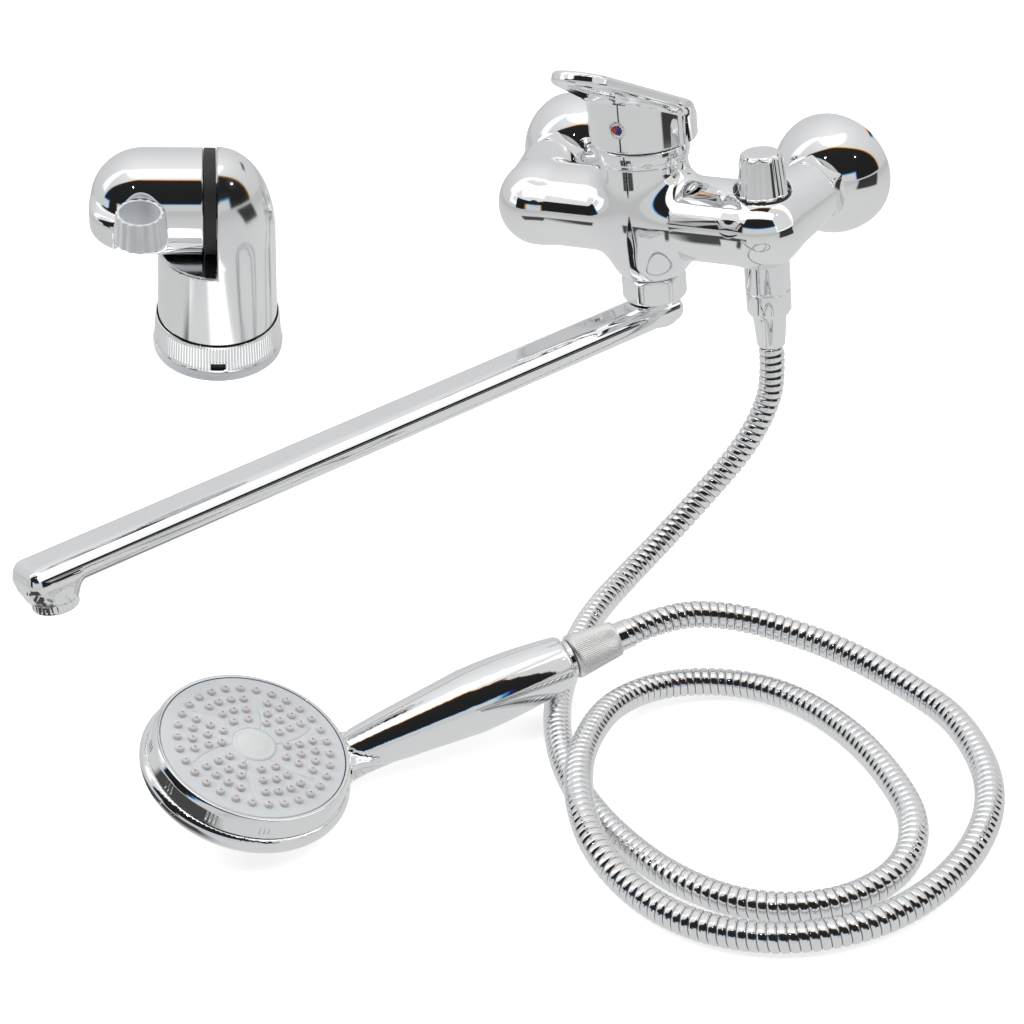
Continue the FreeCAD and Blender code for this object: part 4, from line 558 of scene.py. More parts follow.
def fuller_head(points):
    """Widens the head below its ring and flattens its back, and leaves the neck alone."""
    x, y, z = apart(points)
    along, over = head_axes(x, z)
    head = eased((58 - x) / 16) * eased((58 - along) / 8)
    wider = 1 + 0.068 * eased((-over - 10.4) / 4.0) * head
    lower = np.where(over < HEAD_RIM, HEAD_RIM + (over - HEAD_RIM) * (1 - 0.21 * head), over)
    along, y = along * wider, y * wider
    height = lower + HEAD_HEIGHT
    return np.stack([along * math.cos(HEAD_LEAN) + height * math.sin(HEAD_LEAN), y,
                     height * math.cos(HEAD_LEAN) - along * math.sin(HEAD_LEAN)], -1)


def hand_shape(points):
    """Round head, drawn into a slim neck that swells into the grip."""
    x, y, z = apart(points)
    along, over = head_axes(x, z)
    across = np.hypot(along, y)
    under = (np.hypot(across / HEAD_RADIUS, (over - HEAD_RIM) / HEAD_CROWN) - 1) * HEAD_CROWN
    shoulder = (np.hypot(np.maximum(across - 44.0, 0) / 5.8, (over - HEAD_RIM) / 5.5) - 1) * 5.5
    shell = np.where(over < HEAD_RIM, under, shoulder)
    shell = soft_most(shell, over + HEAD_TOP, 0.6)
    grip = np.hypot(y, z) - grip_radius(x)
    root = np.sqrt((x - 30) ** 2 + y ** 2 + z ** 2) - NECK_RADIUS
    grip = np.where(x < 30, root, grip)
    grip = eased_corner(grip, x - GRIP_END, 1.8)
    whole = soft_least(shell, grip, 11.0)
    return soft_most(whole, over + HEAD_TOP, 0.6)


POST_FOOT = 4.5
POST_FOOT_RADIUS = 27.7
DOME_START = 60
DOME_RADIUS = 26.36
DOME_HEIGHT = 43.5
DOME_POWER = 2.2
POST_SHELF = 55.1
BARREL_RADIUS = 23.7


def post_shape(points):
    """Slightly tapered column that closes in a round elbow, cut square where the head sits."""
    x, y, z = apart(points)
    across = np.hypot(x, y)
    column = across - (POST_FOOT_RADIUS - 1.5 * (z - POST_FOOT) / 62.1)
    dome = (across / DOME_RADIUS) ** DOME_POWER
    dome = dome + (np.maximum(z - DOME_START, 0) / DOME_HEIGHT) ** DOME_POWER
    dome = DOME_RADIUS * (dome ** (1 / DOME_POWER) - 1)
    whole = np.where(z < DOME_START, column, dome)
    whole = soft_most(whole, POST_FOOT - z, 0.6)
    away = np.maximum(x - 0.1, POST_SHELF - z)
    return soft_most(whole, -away, 1.0)


def head_shape(points):
    """Barrel with a round end and an open cradle on its front."""
    x, y, z = apart(points)
    level = z - TILT_HEIGHT
    barrel = capsule(x, y, level, (-31.9, 0, 0), (10, 0, 0), BARREL_RADIUS, BARREL_RADIUS)
    barrel = eased_corner(barrel, x + 5.6, 1.0)
    lip = eased_corner(np.hypot(x + 36, y + 8) - 20, np.abs(level + 2) - 8, 4.5)
    whole = soft_least(barrel, lip, 2.0)
    socket = np.hypot(x + 33, y + 28) - np.interp(level, (-0.5, 13.4), (11.95, 10.55))
    return soft_most(whole, -socket, 0.8)


def casting(name, node, body, slot, place, distance, material, grain, **ways):
    """A cast piece that rides on its body in place of its CAD node."""
    finish_piece(cast_piece(name, node, place, distance, material, grain, **ways), body, [node])


def make_castings():
    casting("mixer_body_casting", "mixer_body", "mixer", "chrome", COLUMN, body_shape, CHROME, 0.9)
    casting("lever_casting", "lever_handle", "lever", "chrome", COLUMN, lever_shape, CHROME, 0.6)
    casting("spout_body", "spout_tube", "spout", "chrome", SPOUT, spout_shape, CHROME, 1.1,
            reach=6.5, rounds=5)
    casting("handset_shell", "handset_body", "mixer", "chrome_plastic", HAND, hand_shape, CHROME, 1.0,
            rounds=6, warp=fuller_head)
    casting("bracket_post", "bracket_column", "mixer", "chrome_plastic", STAND, post_shape, POST_CHROME, 1.0)
    casting("bracket_barrel", "bracket_head", "bracket_arm", "chrome_plastic", STAND, head_shape, CHROME, 0.8)


# Wall side: dome rosettes and union nuts.

def make_wall_side():
    for side, place in (("left", LEFT_WALL), ("right", RIGHT_WALL)):
        outer = [(32.0 * math.cos(angle), 32.0 * math.sin(angle)) for angle in np.linspace(0, 0.981, 30)]
        inner = [(30.7 * math.cos(angle), 30.7 * math.sin(angle)) for angle in np.linspace(0.952, 0, 24)]
        turned_part(side + "_dome_rosette", outer + inner, place, CHROME, "mixer", "chrome",
                    [side + "_rosette"], segments=160)
        nut = [(12.6, 23.2, 0.4), (18.6, 23.2, 1.6), (18.6, 36.6, 1.6), (14.8, 36.6, 0.3),
               (14.8, 30.9), (12.6, 30.9)]
        turned_part(side + "_hexagon_nut", nut, place, CHROME, "mixer", "chrome", [side + "_union_nut"],
                    segments=180, shape=hexagonal(16.3), step=0.8)


# Cover over the cartridge, index plug and diverter.

def make_controls():
    cover = [(20.3, 27.0), (23.4, 27.0, 0.3), (23.4, 28.6, 0.3), (23.9, 29.2, 0.4), (24.0, 35.0, 1.2),
             (21.9, 36.5, 0.8), (12.8, 38.0, 0.3), (12.8, 36.8), (20.3, 34.8)]
    turned_part("cartridge_cover", cover, COLUMN, CHROME, "mixer", "chrome", ["cover_ring"], segments=160)
    front = COLUMN @ shift(0, 3.1 - CUP_RADIUS, 49.5) @ turn("X", 90)
    rim = [(3.0, 2.6, 0.2), (3.3, 3.5, 0.3), (4.3, 3.6, 0.4), (4.4, 0.2), (3.0, 0.2)]
    turned_part("index_ring", rim, front, CHROME, "lever", "index_plastic", ["index_plug"], segments=48)
    middle = [(3.0, 0.4), (3.0, 2.7, 0.3), (0.2, 3.0)]
    points, faces = turned_mesh(middle, False, 48)
    button = mesh_piece("index_button", points, faces, front, [RED, BLUE])
    for face in button.data.polygons:
        face.material_index = 1 if face.center.x > 0 else 0
    finish_piece(button, "lever")

    def fluted(radius, height, angle):
        share = eased((34.6 - height) / 2.4) * eased((radius - 9.0) / 1.2)
        wave = np.maximum(np.cos(8 * (angle - math.radians(22.5))), 0) ** 1.2
        return radius - 1.0 * share * wave, height
    knob = [(10.9, 11.9), (13.2, 11.9, 0.3), (13.2, 13.2, 0.3), (12.9, 13.6, 0.2), (10.7, 32.8, 1.8),
            (8.9, 34.5, 1.4), (0.3, 34.5)]
    turned_part("fluted_knob", knob, DIVERTER, CHROME, "diverter", "chrome", ["diverter_knob"],
                closed=False, segments=192, shape=fluted, step=0.7)
    # Painted shade: a thin dark ring in the gap under the knob stands for the shadow there.
    seat = [(10.6, 11.55), (14.3, 11.55, 0.2), (14.3, 11.8, 0.1), (10.6, 11.8)]
    turned_part("knob_gap_shade_ring", seat, DIVERTER, PAINTED_SHADE, "mixer", "washer_rubber")


# Shower outlet, hose nut and the ferrule at the mixer.

def make_outlet():
    def flatted(radius, height, angle):
        side = 10.9 / np.maximum(np.abs(np.cos(angle)), 0.2)
        return soft_least(radius, side, 0.4), height
    outlet = [(5.6, -46.9), (9.5, -46.9, 0.4), (9.5, -39.6, 0.3), (11.8, -39.6, 0.8), (11.8, -20.0),
              (5.6, -20.0)]
    turned_part("outlet_neck", outlet, DIVERTER, CHROME, "mixer", "chrome", ["shower_outlet"],
                segments=160, shape=flatted, step=0.8)
    nut = [(9.1, -53.0), (10.2, -53.0, 0.4), (11.6, -50.5, 0.7), (11.6, -39.6, 0.8), (9.8, -39.6),
           (9.8, -50.6), (9.1, -50.6)]
    turned_part("hose_nut_ring", nut, DIVERTER, CHROME, "mixer", "chrome", ["hose_nut"])
    sleeve = [(4.3, -71.0), (7.2, -71.0, 0.5), (7.5, -68.6, 0.3), (8.8, -54.6, 0.6), (8.8, -50.8),
              (9.5, -50.8), (9.5, -48.7), (4.3, -48.7)]
    turned_part("mixer_end_ferrule", sleeve, DIVERTER, CHROME, "mixer", "chrome", ["hose_ferrule"])


# Spout nut and aerator.

def make_spout_fittings():
    nut = [(10.3, -51.3), (16.0, -51.3, 1.2), (17.0, -49.6, 1.0), (17.0, -39.4, 1.0), (15.6, -37.75, 0.8),
           (13.75, -37.75), (13.75, -49.0), (10.3, -49.0)]
    turned_part("spout_hexagon_nut", nut, COLUMN, CHROME, "mixer", "chrome", ["spout_nut"],
                segments=216, shape=hexagonal(15.3, 0.6), step=0.6)
    housing = [(7.9, -76.8), (9.2, -77.0, 0.4), (11.1, -76.4, 0.8), (11.2, -71.7, 0.4), (9.8, -71.7),
               (9.8, -63.7), (8.6, -63.7), (8.6, -75.4), (7.9, -75.4)]

    def gripped(radius, height, angle):
        share = eased((height + 75.9) / 0.5) * eased((-72.2 - height) / 0.5) * eased((radius - 10.6) / 0.3)
        return radius - 0.22 * share * np.maximum(np.cos(28 * angle), 0), height
    turned_part("aerator_ring", housing, MOUTH, CHROME, "spout", "chrome", ["aerator_housing"],
                segments=336, shape=gripped, step=0.6)


# Handset: spray ring, face with its nozzles, centre badge, end ring, knurled nut and ferrule.

def nozzle_spots():
    spots = [(36.0, (index + 0.5) * 12.0) for index in range(30)]
    rows = ((15.6, (-13.8, 13.8)), (22.0, (-16.5, 0.0, 16.5)), (29.0, (-18.7, -6.5, 6.5, 18.7)))
    for sector in range(6):
        middle = 36.5 + sector * 60.0
        for radius, angles in rows:
            for angle in angles:
                spots.append((radius, middle + angle + (radius - 29.0) * 0.28))
    return [(radius * math.cos(math.radians(angle)), radius * math.sin(math.radians(angle)))
            for radius, angle in spots]


def face_height(radius):
    return -0.4 + 1.2 * (43.6 - radius) / 33.2


def make_face():
    def grooved(radius, height, angle):
        middle = math.radians(6.5) + (radius - 29.0) * math.radians(0.9)
        away = (angle - middle + math.pi / 6) % (math.pi / 3) - math.pi / 6
        width = np.abs(away) * radius
        inner = eased((radius - 10.0) / 1.5) * eased((33.5 - radius) / 1.5)
        dip = 0.45 * np.exp(-(width / 0.55) ** 2) * inner
        top = (height > -1.0) & (radius < 43.3)
        return radius, np.where(top, face_height(radius) - dip, height)
    plate = [(10.4, -2.3), (43.5, -2.3, 0.2), (43.5, -0.45, 0.4), (10.4, 0.8, 0.2)]
    turned_part("face_plate", plate, FACE, FACE_PLASTIC, "mixer", "face_plastic", ["spray_face"],
                segments=720, shape=grooved, step=0.5)
    nub = [(2.1, -0.5), (2.05, 0.5, 0.3), (1.75, 1.5, 0.7), (0.55, 1.8, 0.2), (0.5, 1.2)]
    points, faces = turned_mesh(nub, False, 20)
    all_points = []
    all_faces = []
    for x, y in nozzle_spots():
        offset = len(points) * len(all_points)
        height = face_height(math.hypot(x, y))
        all_points.append(points + np.array((x, y, height)))
        all_faces.extend([tuple(offset + corner for corner in face) for face in faces])
    piece = mesh_piece("nozzles", np.concatenate(all_points), all_faces, FACE, [NOZZLE])
    finish_piece(piece, "mixer", ["nozzle_mat"])
    badge = [(10.3, -2.3), (10.3, 0.75, 0.3), (9.2, 1.35, 0.5), (8.2, 1.2, 0.4), (5.0, 1.9, 3.0),
             (0.3, 2.05)]
    turned_part("face_badge", badge, FACE, BADGE, "mixer", "badge_plastic", ["centre_badge"],
                closed=False, segments=120, step=1.5)


def make_spray_ring():
    def ticked(radius, height, angle):
        group = (np.degrees(angle) % 30.0) - 15.0
        inside = eased((4.0 - np.abs(group)) / 0.6)
        wave = np.maximum(np.cos(np.radians(group) * 144), 0) ** 2
        share = eased((height + 8.6) / 1.0) * eased((-3.4 - height) / 0.8) * eased((radius - 46.2) / 0.3)
        return radius - 0.5 * inside * wave * share, height
    ring = [(43.85, -10.2), (47.4, -10.2, 0.3), (46.8, -3.0, 2.0), (45.4, -0.1, 0.9), (43.85, -0.1, 0.3)]
    turned_part("selector_ring", ring, FACE, CHROME, "spray_selector", "chrome_plastic", ["spray_ring"],
                segments=1440, shape=ticked, step=0.6)
    # Painted shade: a dark ring in the seam between the face plate and the selector ring.
    seam = [(43.3, -1.2), (44.0, -1.2), (44.0, -0.9), (43.3, -0.9)]
    turned_part("face_seam_shade", seam, FACE, PAINTED_SHADE, "mixer", "washer_rubber", segments=180)


def make_handset_end():
    ring = [(4.3, 170.2), (9.9, 170.2), (9.9, 173.9, 0.2), (9.2, 174.1, 0.2), (9.2, 176.6, 0.3),
            (4.3, 176.7)]
    turned_part("grip_end_ring", ring, GRIP, CHROME, "mixer", "chrome", ["handset_end_ring"])

    def knurled(radius, height, angle):
        share = eased((height - 178.0) / 0.8) * eased((200.0 - height) / 0.8) * eased((radius - 8.2) / 0.3)
        return radius - 0.2 * share * (0.5 + 0.5 * np.cos(72 * angle)), height
    nut = [(7.5, 176.9), (10.4, 176.9, 0.2), (11.0, 177.7, 0.5), (10.95, 179.6, 0.3), (8.6, 200.9, 0.5),
           (7.5, 200.9)]
    turned_part("cone_nut", nut, GRIP, SATIN, "mixer", "satin_metal", ["handset_nut"],
                segments=576, shape=knurled, step=1.0)
    sleeve = [(4.3, 177.0), (7.2, 177.0), (7.2, 205.5, 0.2), (7.0, 205.8, 0.2), (7.2, 206.2, 0.2),
              (7.2, 208.9, 0.5), (4.3, 209.0)]
    turned_part("handset_end_ferrule", sleeve, GRIP, CHROME, "mixer", "chrome", ["handset_ferrule"])


# Bracket: lock ring with its window, gasket and ribbed liner.

KNURL_TEETH = 62
FOOT_TEETH = 13


def make_lock_ring():
    def ribbed(radius, height, angle):
        outer = eased((radius - 28.0) / 0.3)
        share = outer * eased((height - 6.0) / 0.4) * eased((17.4 - height) / 0.5)
        wave = np.abs(np.cos(KNURL_TEETH * angle)) ** 0.7
        front = (np.degrees(angle) - 270 + 180) % 360 - 180
        across = np.abs(np.radians(front) * 29)
        window = eased((3.4 - across) / 0.3) * eased((height - 5.9) / 0.3) * eased((9.2 - height) / 0.3)
        plain = np.maximum(eased((across - 3.6) / 0.3), eased((height - 9.8) / 0.3))
        teeth = eased((6.3 - height) / 0.3) * (np.cos(FOOT_TEETH * angle) > 0.93) * outer
        return radius - (0.42 * share * (1 - wave) * plain) - 2.2 * window * outer - 0.6 * teeth, height
    ring = [(27.9, 4.5), (29.4, 4.5, 0.4), (28.4, 18.4, 0.6), (27.9, 18.4)]
    points, faces = turned_mesh(ring, True, 1488, ribbed, 0.45)
    piece = mesh_piece("knurled_lock_ring", points, faces, STAND, [CHROME, PAINTED_SHADE])
    # Painted shade: faces inside the window take the near-black material for the shade in it.
    for face in piece.data.polygons:
        x, y, z = points[list(face.vertices)].mean(0)
        if abs(x) < 3.3 and y < -20 and 6.0 < z < 9.1 and math.hypot(x, y) < 28.6:
            face.material_index = 1
    finish_piece(piece, "mixer", ["bracket_lock_ring"])


def make_bracket_rings():
    gasket = [(8.2, 0.1), (23.6, 0.1, 0.6), (23.7, 5.5, 0.6), (8.2, 5.5)]
    turned_part("black_gasket", gasket, TILT_AXIS, RUBBER, "mixer", "seal_rubber", ["bracket_gasket"],
                segments=144)
    base = [(0.3, 0.0), (29.7, 0.0, 0.5), (30.0, 3.2, 0.8), (29.2, 4.5, 0.3), (0.3, 4.5)]
    turned_part("base_disc", base, STAND, GREY_PLASTIC, "mixer", "insert_plastic", ["bracket_wall_plate"],
                closed=False, segments=144)


def make_liner():
    def fluted(radius, height, angle):
        wave = np.abs(np.cos(8 * angle)) ** 1.5
        share = eased((radius - (10.62 - 0.1007 * height)) / 0.5)
        return radius - 0.75 * share * (1 - wave), height
    cone = [(10.25, -0.45, 0.2), (11.85, -0.45, 0.4), (10.45, 13.35, 0.5), (8.85, 13.35, 0.4)]
    turned_part("cradle_liner", cone, STAND @ shift(-33, -28, TILT_HEIGHT), LINER, "bracket_arm",
                "liner_plastic", ["bracket_liner"], segments=480, shape=fluted, step=0.8)


# Hose: a wound steel strip that follows one smooth line from the mixer to the handset. Its points,
# radius and pitch are in metres.

HOSE_POINTS = [(x / 1000, y / 1000, z / 1000) for x, y, z in (
    (66, -68, -71), (66, -68, -92), (61.5, -72.5, -109), (53, -82, -127), (39.5, -98.5, -145),
    (26, -123, -162), (17, -152, -172.5), (14, -190, -177.3), (24, -232, -177.3), (41, -279, -177.3),
    (72, -324.5, -177.3), (110, -356.5, -177.3), (155, -380.5, -177.3), (196, -386.5, -177.3),
    (229, -371, -177.3), (245, -340, -177.3), (238, -304, -177.3), (214, -274, -177.3),
    (181, -245, -177.3), (143, -225.5, -177.3), (110, -223, -177.3), (82, -239.5, -174.5),
    (70.5, -268, -170.5), (74, -299, -166.3), (84, -332, -163.2), (101, -362.5, -163.6),
    (122, -386, -168.5), (152, -401, -176), (188, -408, -177.3), (225, -398.5, -177.3),
    (255.5, -369, -177.3), (268.5, -321.5, -177.3), (261, -268, -177.3), (227, -221, -176),
    (192.5, -205.5, -171.5), (157, -197.5, -164.5), (126.5, -199.5, -157.5), (103.5, -205.5, -151.5),
    (79.3, -220.2, -146.7), (64.6, -238.9, -149.9))]
HOSE_RADIUS = 0.0067
RIB_PITCH = 0.0041
RIB_ROWS = 9
HOSE_SIDES = 30
LINE_EVENINGS = 12
# Places along one turn of the strip, and the share of the full radius there.
RIB_PLACES = (0.0, 0.11, 0.22, 0.45, 0.67, 0.78, 0.89, 1.0)
RIB_RADII = (0.89, 0.975, 0.997, 1.0, 0.997, 0.975, 0.89, 0.89)
# Faces whose two rows have shares that add up to less than this are the groove, coloured dark as painted
# shade.
GROOVE_SHADE_RADII = 1.83


def hose_line():
    """Points read along the smooth spline of the route."""
    curve = bpy.data.curves.new("hose_route", "CURVE")
    curve.dimensions = "3D"
    curve.resolution_u = 24
    spline = curve.splines.new("NURBS")
    spline.points.add(len(HOSE_POINTS) - 1)
    for point, spot in zip(spline.points, HOSE_POINTS):
        point.co = (*spot, 1.0)
    spline.order_u = 3
    spline.use_endpoint_u = True
    holder = bpy.data.objects.new("hose_route", curve)
    line = bpy.data.meshes.new_from_object(holder)
    spots = read_numbers(line.vertices, "co")
    bpy.data.objects.remove(holder)
    bpy.data.curves.remove(curve)
    bpy.data.meshes.remove(line)
    return spots


def hose_frames():
    """Evenly spaced places along the hose, with two directions square to it at each."""
    line = hose_line()
    runs = np.linalg.norm(np.diff(line, axis=0), axis=1)
    reached = np.concatenate([[0], np.cumsum(runs)])
    rows = int(round(reached[-1] / RIB_PITCH)) * RIB_ROWS + 1
    stations = np.linspace(0, reached[-1], rows)
    centre = np.stack([np.interp(stations, reached, line[:, axis]) for axis in range(3)], -1)
    for evening in range(LINE_EVENINGS):
        centre[1:-1] = 0.25 * centre[:-2] + 0.5 * centre[1:-1] + 0.25 * centre[2:]
    ways = np.gradient(centre, axis=0)
    ways /= np.linalg.norm(ways, axis=1)[:, None]
    side = np.cross(ways[0], (0.0, 1.0, 0.0))
    side = side / np.linalg.norm(side)
    aside = []
    for way in ways:
        side = side - way * (side @ way)
        side = side / np.linalg.norm(side)
        aside.append(side)
    aside = np.array(aside)
    return line, stations, centre, aside, np.cross(ways, aside)


def read_along(spots, stations, values):
    return np.stack([np.interp(spots, stations, values[:, axis]) for axis in range(3)], -1)


def make_hose():
    """Ribs wound as one screw: each side of the hose lags the one before it, by one rib a turn."""
    line, stations, centre, aside, upward = hose_frames()
    rows = len(stations)
    band = np.interp((np.arange(rows) % RIB_ROWS) / RIB_ROWS, RIB_PLACES, RIB_RADII)
    radius = (HOSE_RADIUS * band)[:, None]
    points = []
    for index in range(HOSE_SIDES):
        angle = 2 * math.pi * index / HOSE_SIDES
        spots = np.clip(stations + RIB_PITCH * index / HOSE_SIDES, 0, stations[-1])
        base = read_along(spots, stations, centre)
        across = read_along(spots, stations, aside)
        over = read_along(spots, stations, upward)
        points.append(base + radius * (across * math.cos(angle) + over * math.sin(angle)))
    points = np.stack(points, 1).reshape(-1, 3) / MM
    faces = []
    dark = []
    for row in range(rows - 1):
        for column in range(HOSE_SIDES):
            here = row * HOSE_SIDES + column
            beside = here + 1
            if column == HOSE_SIDES - 1:
                if row + RIB_ROWS + 1 >= rows:
                    continue
                beside = (row + RIB_ROWS) * HOSE_SIDES
            faces.append((here, beside, beside + HOSE_SIDES, here + HOSE_SIDES))
            # Groove faces take the second material: painted shade.
            dark.append(band[row] + band[row + 1] < GROOVE_SHADE_RADII)
    hose = mesh_piece("metal_hose", points, faces, WORLD, [HOSE_CHROME, HOSE_GROOVE_SHADE], 70.0)
    hose.data.polygons.foreach_set("material_index", np.array(dark, np.int32))
    finish_piece(hose, "mixer", ["shower_hose"])


# CAD pieces that stay as they are: inner and plain parts, each with its own finish.

def dress_kept_nodes():
    finishes = {
        "left_union": BRASS, "right_union": BRASS, "left_inlet_washer": WASHER,
        "right_inlet_washer": WASHER, "cartridge_housing": WHITE_PLASTIC, "cartridge_nut": BRASS,
        "cartridge_carrier": WHITE_PLASTIC, "cartridge_pin": STEEL, "cartridge_stem": STEEL,
        "lever_grub_screw": STEEL, "diverter_bonnet": BRASS, "diverter_spindle": STEEL,
        "hose_washer": WASHER, "spout_seals": RUBBER, "aerator_insert": WHITE_PLASTIC,
        "jet_plate": GREY_PLASTIC, "bracket_wall_screws": STEEL, "bracket_pivot": STEEL}
    for name, material in finishes.items():
        for slot in nodes[name].material_slots:
            slot.material = material


# Stage: a pale room and floor with darker parts that only reflections show, light and camera.

def math_step(tree, operation, first, second=None):
    step = tree.nodes.new("ShaderNodeMath")
    step.operation = operation
    for place, value in enumerate((first, second)):
        if value is None:
            continue
        if isinstance(value, (int, float)):
            step.inputs[place].default_value = value
        else:
            tree.links.new(value, step.inputs[place])
    return step.outputs[0]


def product(tree, first, second):
    return math_step(tree, "MULTIPLY", first, second)


def left_by(tree, share, amount):
    """What is left of one when the share times the amount is taken away."""
    return math_step(tree, "SUBTRACT", 1.0, product(tree, share, amount))


def azimuth_of(tree, x, toward):
    return math_step(tree, "DEGREES", math_step(tree, "ARCTAN2", x, toward))


def place_parts(tree, output):
    place = tree.nodes.new("ShaderNodeTexCoord")
    parts = tree.nodes.new("ShaderNodeSeparateXYZ")
    tree.links.new(place.outputs[output], parts.inputs["Vector"])
    return parts.outputs["X"], parts.outputs["Y"], parts.outputs["Z"]


def window(tree, value, low, high, soft):
    """One inside the range and nought outside, with soft borders."""
    rise = spread(tree, value, 0, 1, low - soft, low + soft)
    fall = spread(tree, value, 1, 0, high - soft, high + soft)
    return product(tree, rise, fall)


# Parts of the room: azimuth from and to, elevation from and to, and softness, all in degrees.
DARK_ROOM = ((-64, 74, 12, 72, 1.5), (66, 122, -19, 72, 1.5))
DARK_BLOCK = ((-43, -22, -8, 20, 1.5), (150, 171, 24, 29, 1.5), (80, 116, -14, 10, 1.5))
BRIGHT_ROOM = ((-70, 140, 69, 95, 3.0), (-78, -62, 20, 70, 3.0))
# An ellipse that cuts the dark room: its middle and half width in azimuth, its base and height.
DARK_ARCH = (29, 89, 3, 63)
ROOM_TONES = ((0.0, 0.64), (0.5, 0.66), (0.62, 0.71), (0.75, 0.79), (0.88, 0.9), (1.0, 1.0))
ROOM_BRIGHTER = 0.55
ROOM_DARKER = 0.975
# The borders of the parts in red and blue lie this many degrees beside those in green.
COLOUR_FRINGE = 0.9


def regions(tree, azimuth, elevation, ranges):
    total = None
    for left, right, low, high, soft in ranges:
        both = product(tree, window(tree, azimuth, left, right, soft),
                       window(tree, elevation, low, high, soft))
        total = both if total is None else math_step(tree, "MAXIMUM", total, both)
    return total


def inside_arch(tree, azimuth, elevation):
    """One within an ellipse of azimuth and elevation, with a soft border."""
    middle, wide, base, tall = DARK_ARCH
    across = math_step(tree, "DIVIDE", math_step(tree, "SUBTRACT", azimuth, middle), wide)
    high = math_step(tree, "DIVIDE", math_step(tree, "SUBTRACT", elevation, base), tall)
    far = math_step(tree, "ADD", product(tree, across, across), product(tree, high, high))
    return spread(tree, far, 1, 0, 0.96, 1.03)


def room_tones(tree, elevation):
    ramp = tree.nodes.new("ShaderNodeValToRGB")
    tree.links.new(spread(tree, elevation, 0, 1, -90, 90), ramp.inputs["Fac"])
    for element, (position, value) in zip(ramp.color_ramp.elements, (ROOM_TONES[0], ROOM_TONES[-1])):
        element.position = position
        element.color = (value, value, value, 1)
    for position, value in ROOM_TONES[1:-1]:
        ramp.color_ramp.elements.new(position).color = (value, value, value * 1.01, 1)
    tones = tree.nodes.new("ShaderNodeSeparateColor")
    tree.links.new(ramp.outputs["Color"], tones.inputs["Color"])
    return tones


def make_world():
    """Pale room with dark and bright parts; only reflections show them, since the view is white."""
    world = bpy.data.worlds.new("studio")
    bpy.context.scene.world = world
    world.use_nodes = True
    tree = world.node_tree
    background = tree.nodes["Background"]
    x, y, z = place_parts(tree, "Generated")
    azimuth = azimuth_of(tree, x, product(tree, y, -1.0))
    elevation = math_step(tree, "DEGREES", math_step(tree, "ARCSINE", z))
    tones = room_tones(tree, elevation)
    bright = regions(tree, azimuth, elevation, BRIGHT_ROOM)
    channels = tree.nodes.new("ShaderNodeCombineColor")
    for name, slip in (("Red", COLOUR_FRINGE), ("Green", 0.0), ("Blue", -COLOUR_FRINGE)):
        moved = math_step(tree, "ADD", elevation, slip)
        aside = math_step(tree, "ADD", azimuth, slip)
        arch = product(tree, regions(tree, aside, moved, DARK_ROOM), inside_arch(tree, aside, moved))
        dark = math_step(tree, "MAXIMUM", arch, regions(tree, aside, moved, DARK_BLOCK))
        lifted = math_step(tree, "ADD", tones.outputs[name], product(tree, bright, ROOM_BRIGHTER))
        tree.links.new(product(tree, lifted, left_by(tree, dark, ROOM_DARKER)), channels.inputs[name])
    path = tree.nodes.new("ShaderNodeLightPath")
    mix = tree.nodes.new("ShaderNodeMix")
    mix.data_type = "RGBA"
    mix.inputs["B"].default_value = (1, 1, 1, 1)
    tree.links.new(path.outputs["Is Camera Ray"], mix.inputs["Factor"])
    tree.links.new(channels.outputs["Color"], mix.inputs["A"])
    tree.links.new(mix.outputs["Result"], background.inputs["Color"])
    background.inputs["Strength"].default_value = 1.0


FLOOR_HEIGHT = -0.1842
FLOOR_HALF = 8.0
FLOOR_TONE = (0.8, 0.8, 0.8, 1)
FLOOR_GLOW = 0.6
COLUMN_BACK = 0.068
# Parts of the floor: azimuth from, to and softness, then distance in metres from, to and softness.
DARK_FLOOR = ((-34, -6, 1.5), (0.40, 0.62, 0.02))
NARROW_FLOOR = ((-24, -17, 1.5), (0.2, 0.44, 0.03))
GREY_FLOOR = ((72, 112, 2.0), (0.62, 3.0, 0.04))
DARK_FLOOR_SHARE = 0.9
GREY_FLOOR_SHARE = 0.93
# Brightness in reflections near the column and farther out, and the two distances in metres.
FLOOR_LEVELS = (0.72, 0.56, 0.2, 1.6)


def floor_part(tree, azimuth, away, ranges):
    return product(tree, window(tree, azimuth, *ranges[0]), window(tree, away, *ranges[1]))


def mirrored_floor(tree):
    """Brightness of the floor in reflections, by its azimuth and distance from the column."""
    x, y, _ = place_parts(tree, "Object")
    toward = product(tree, math_step(tree, "ADD", y, COLUMN_BACK), -1.0)
    azimuth = azimuth_of(tree, x, toward)
    squares = math_step(tree, "ADD", product(tree, x, x), product(tree, toward, toward))
    away = math_step(tree, "SQRT", squares)
    dark = math_step(tree, "MAXIMUM", floor_part(tree, azimuth, away, DARK_FLOOR),
                     floor_part(tree, azimuth, away, NARROW_FLOOR))
    grey = floor_part(tree, azimuth, away, GREY_FLOOR)
    shade = product(tree, left_by(tree, dark, DARK_FLOOR_SHARE), left_by(tree, grey, GREY_FLOOR_SHARE))
    return product(tree, shade, spread(tree, away, *FLOOR_LEVELS))


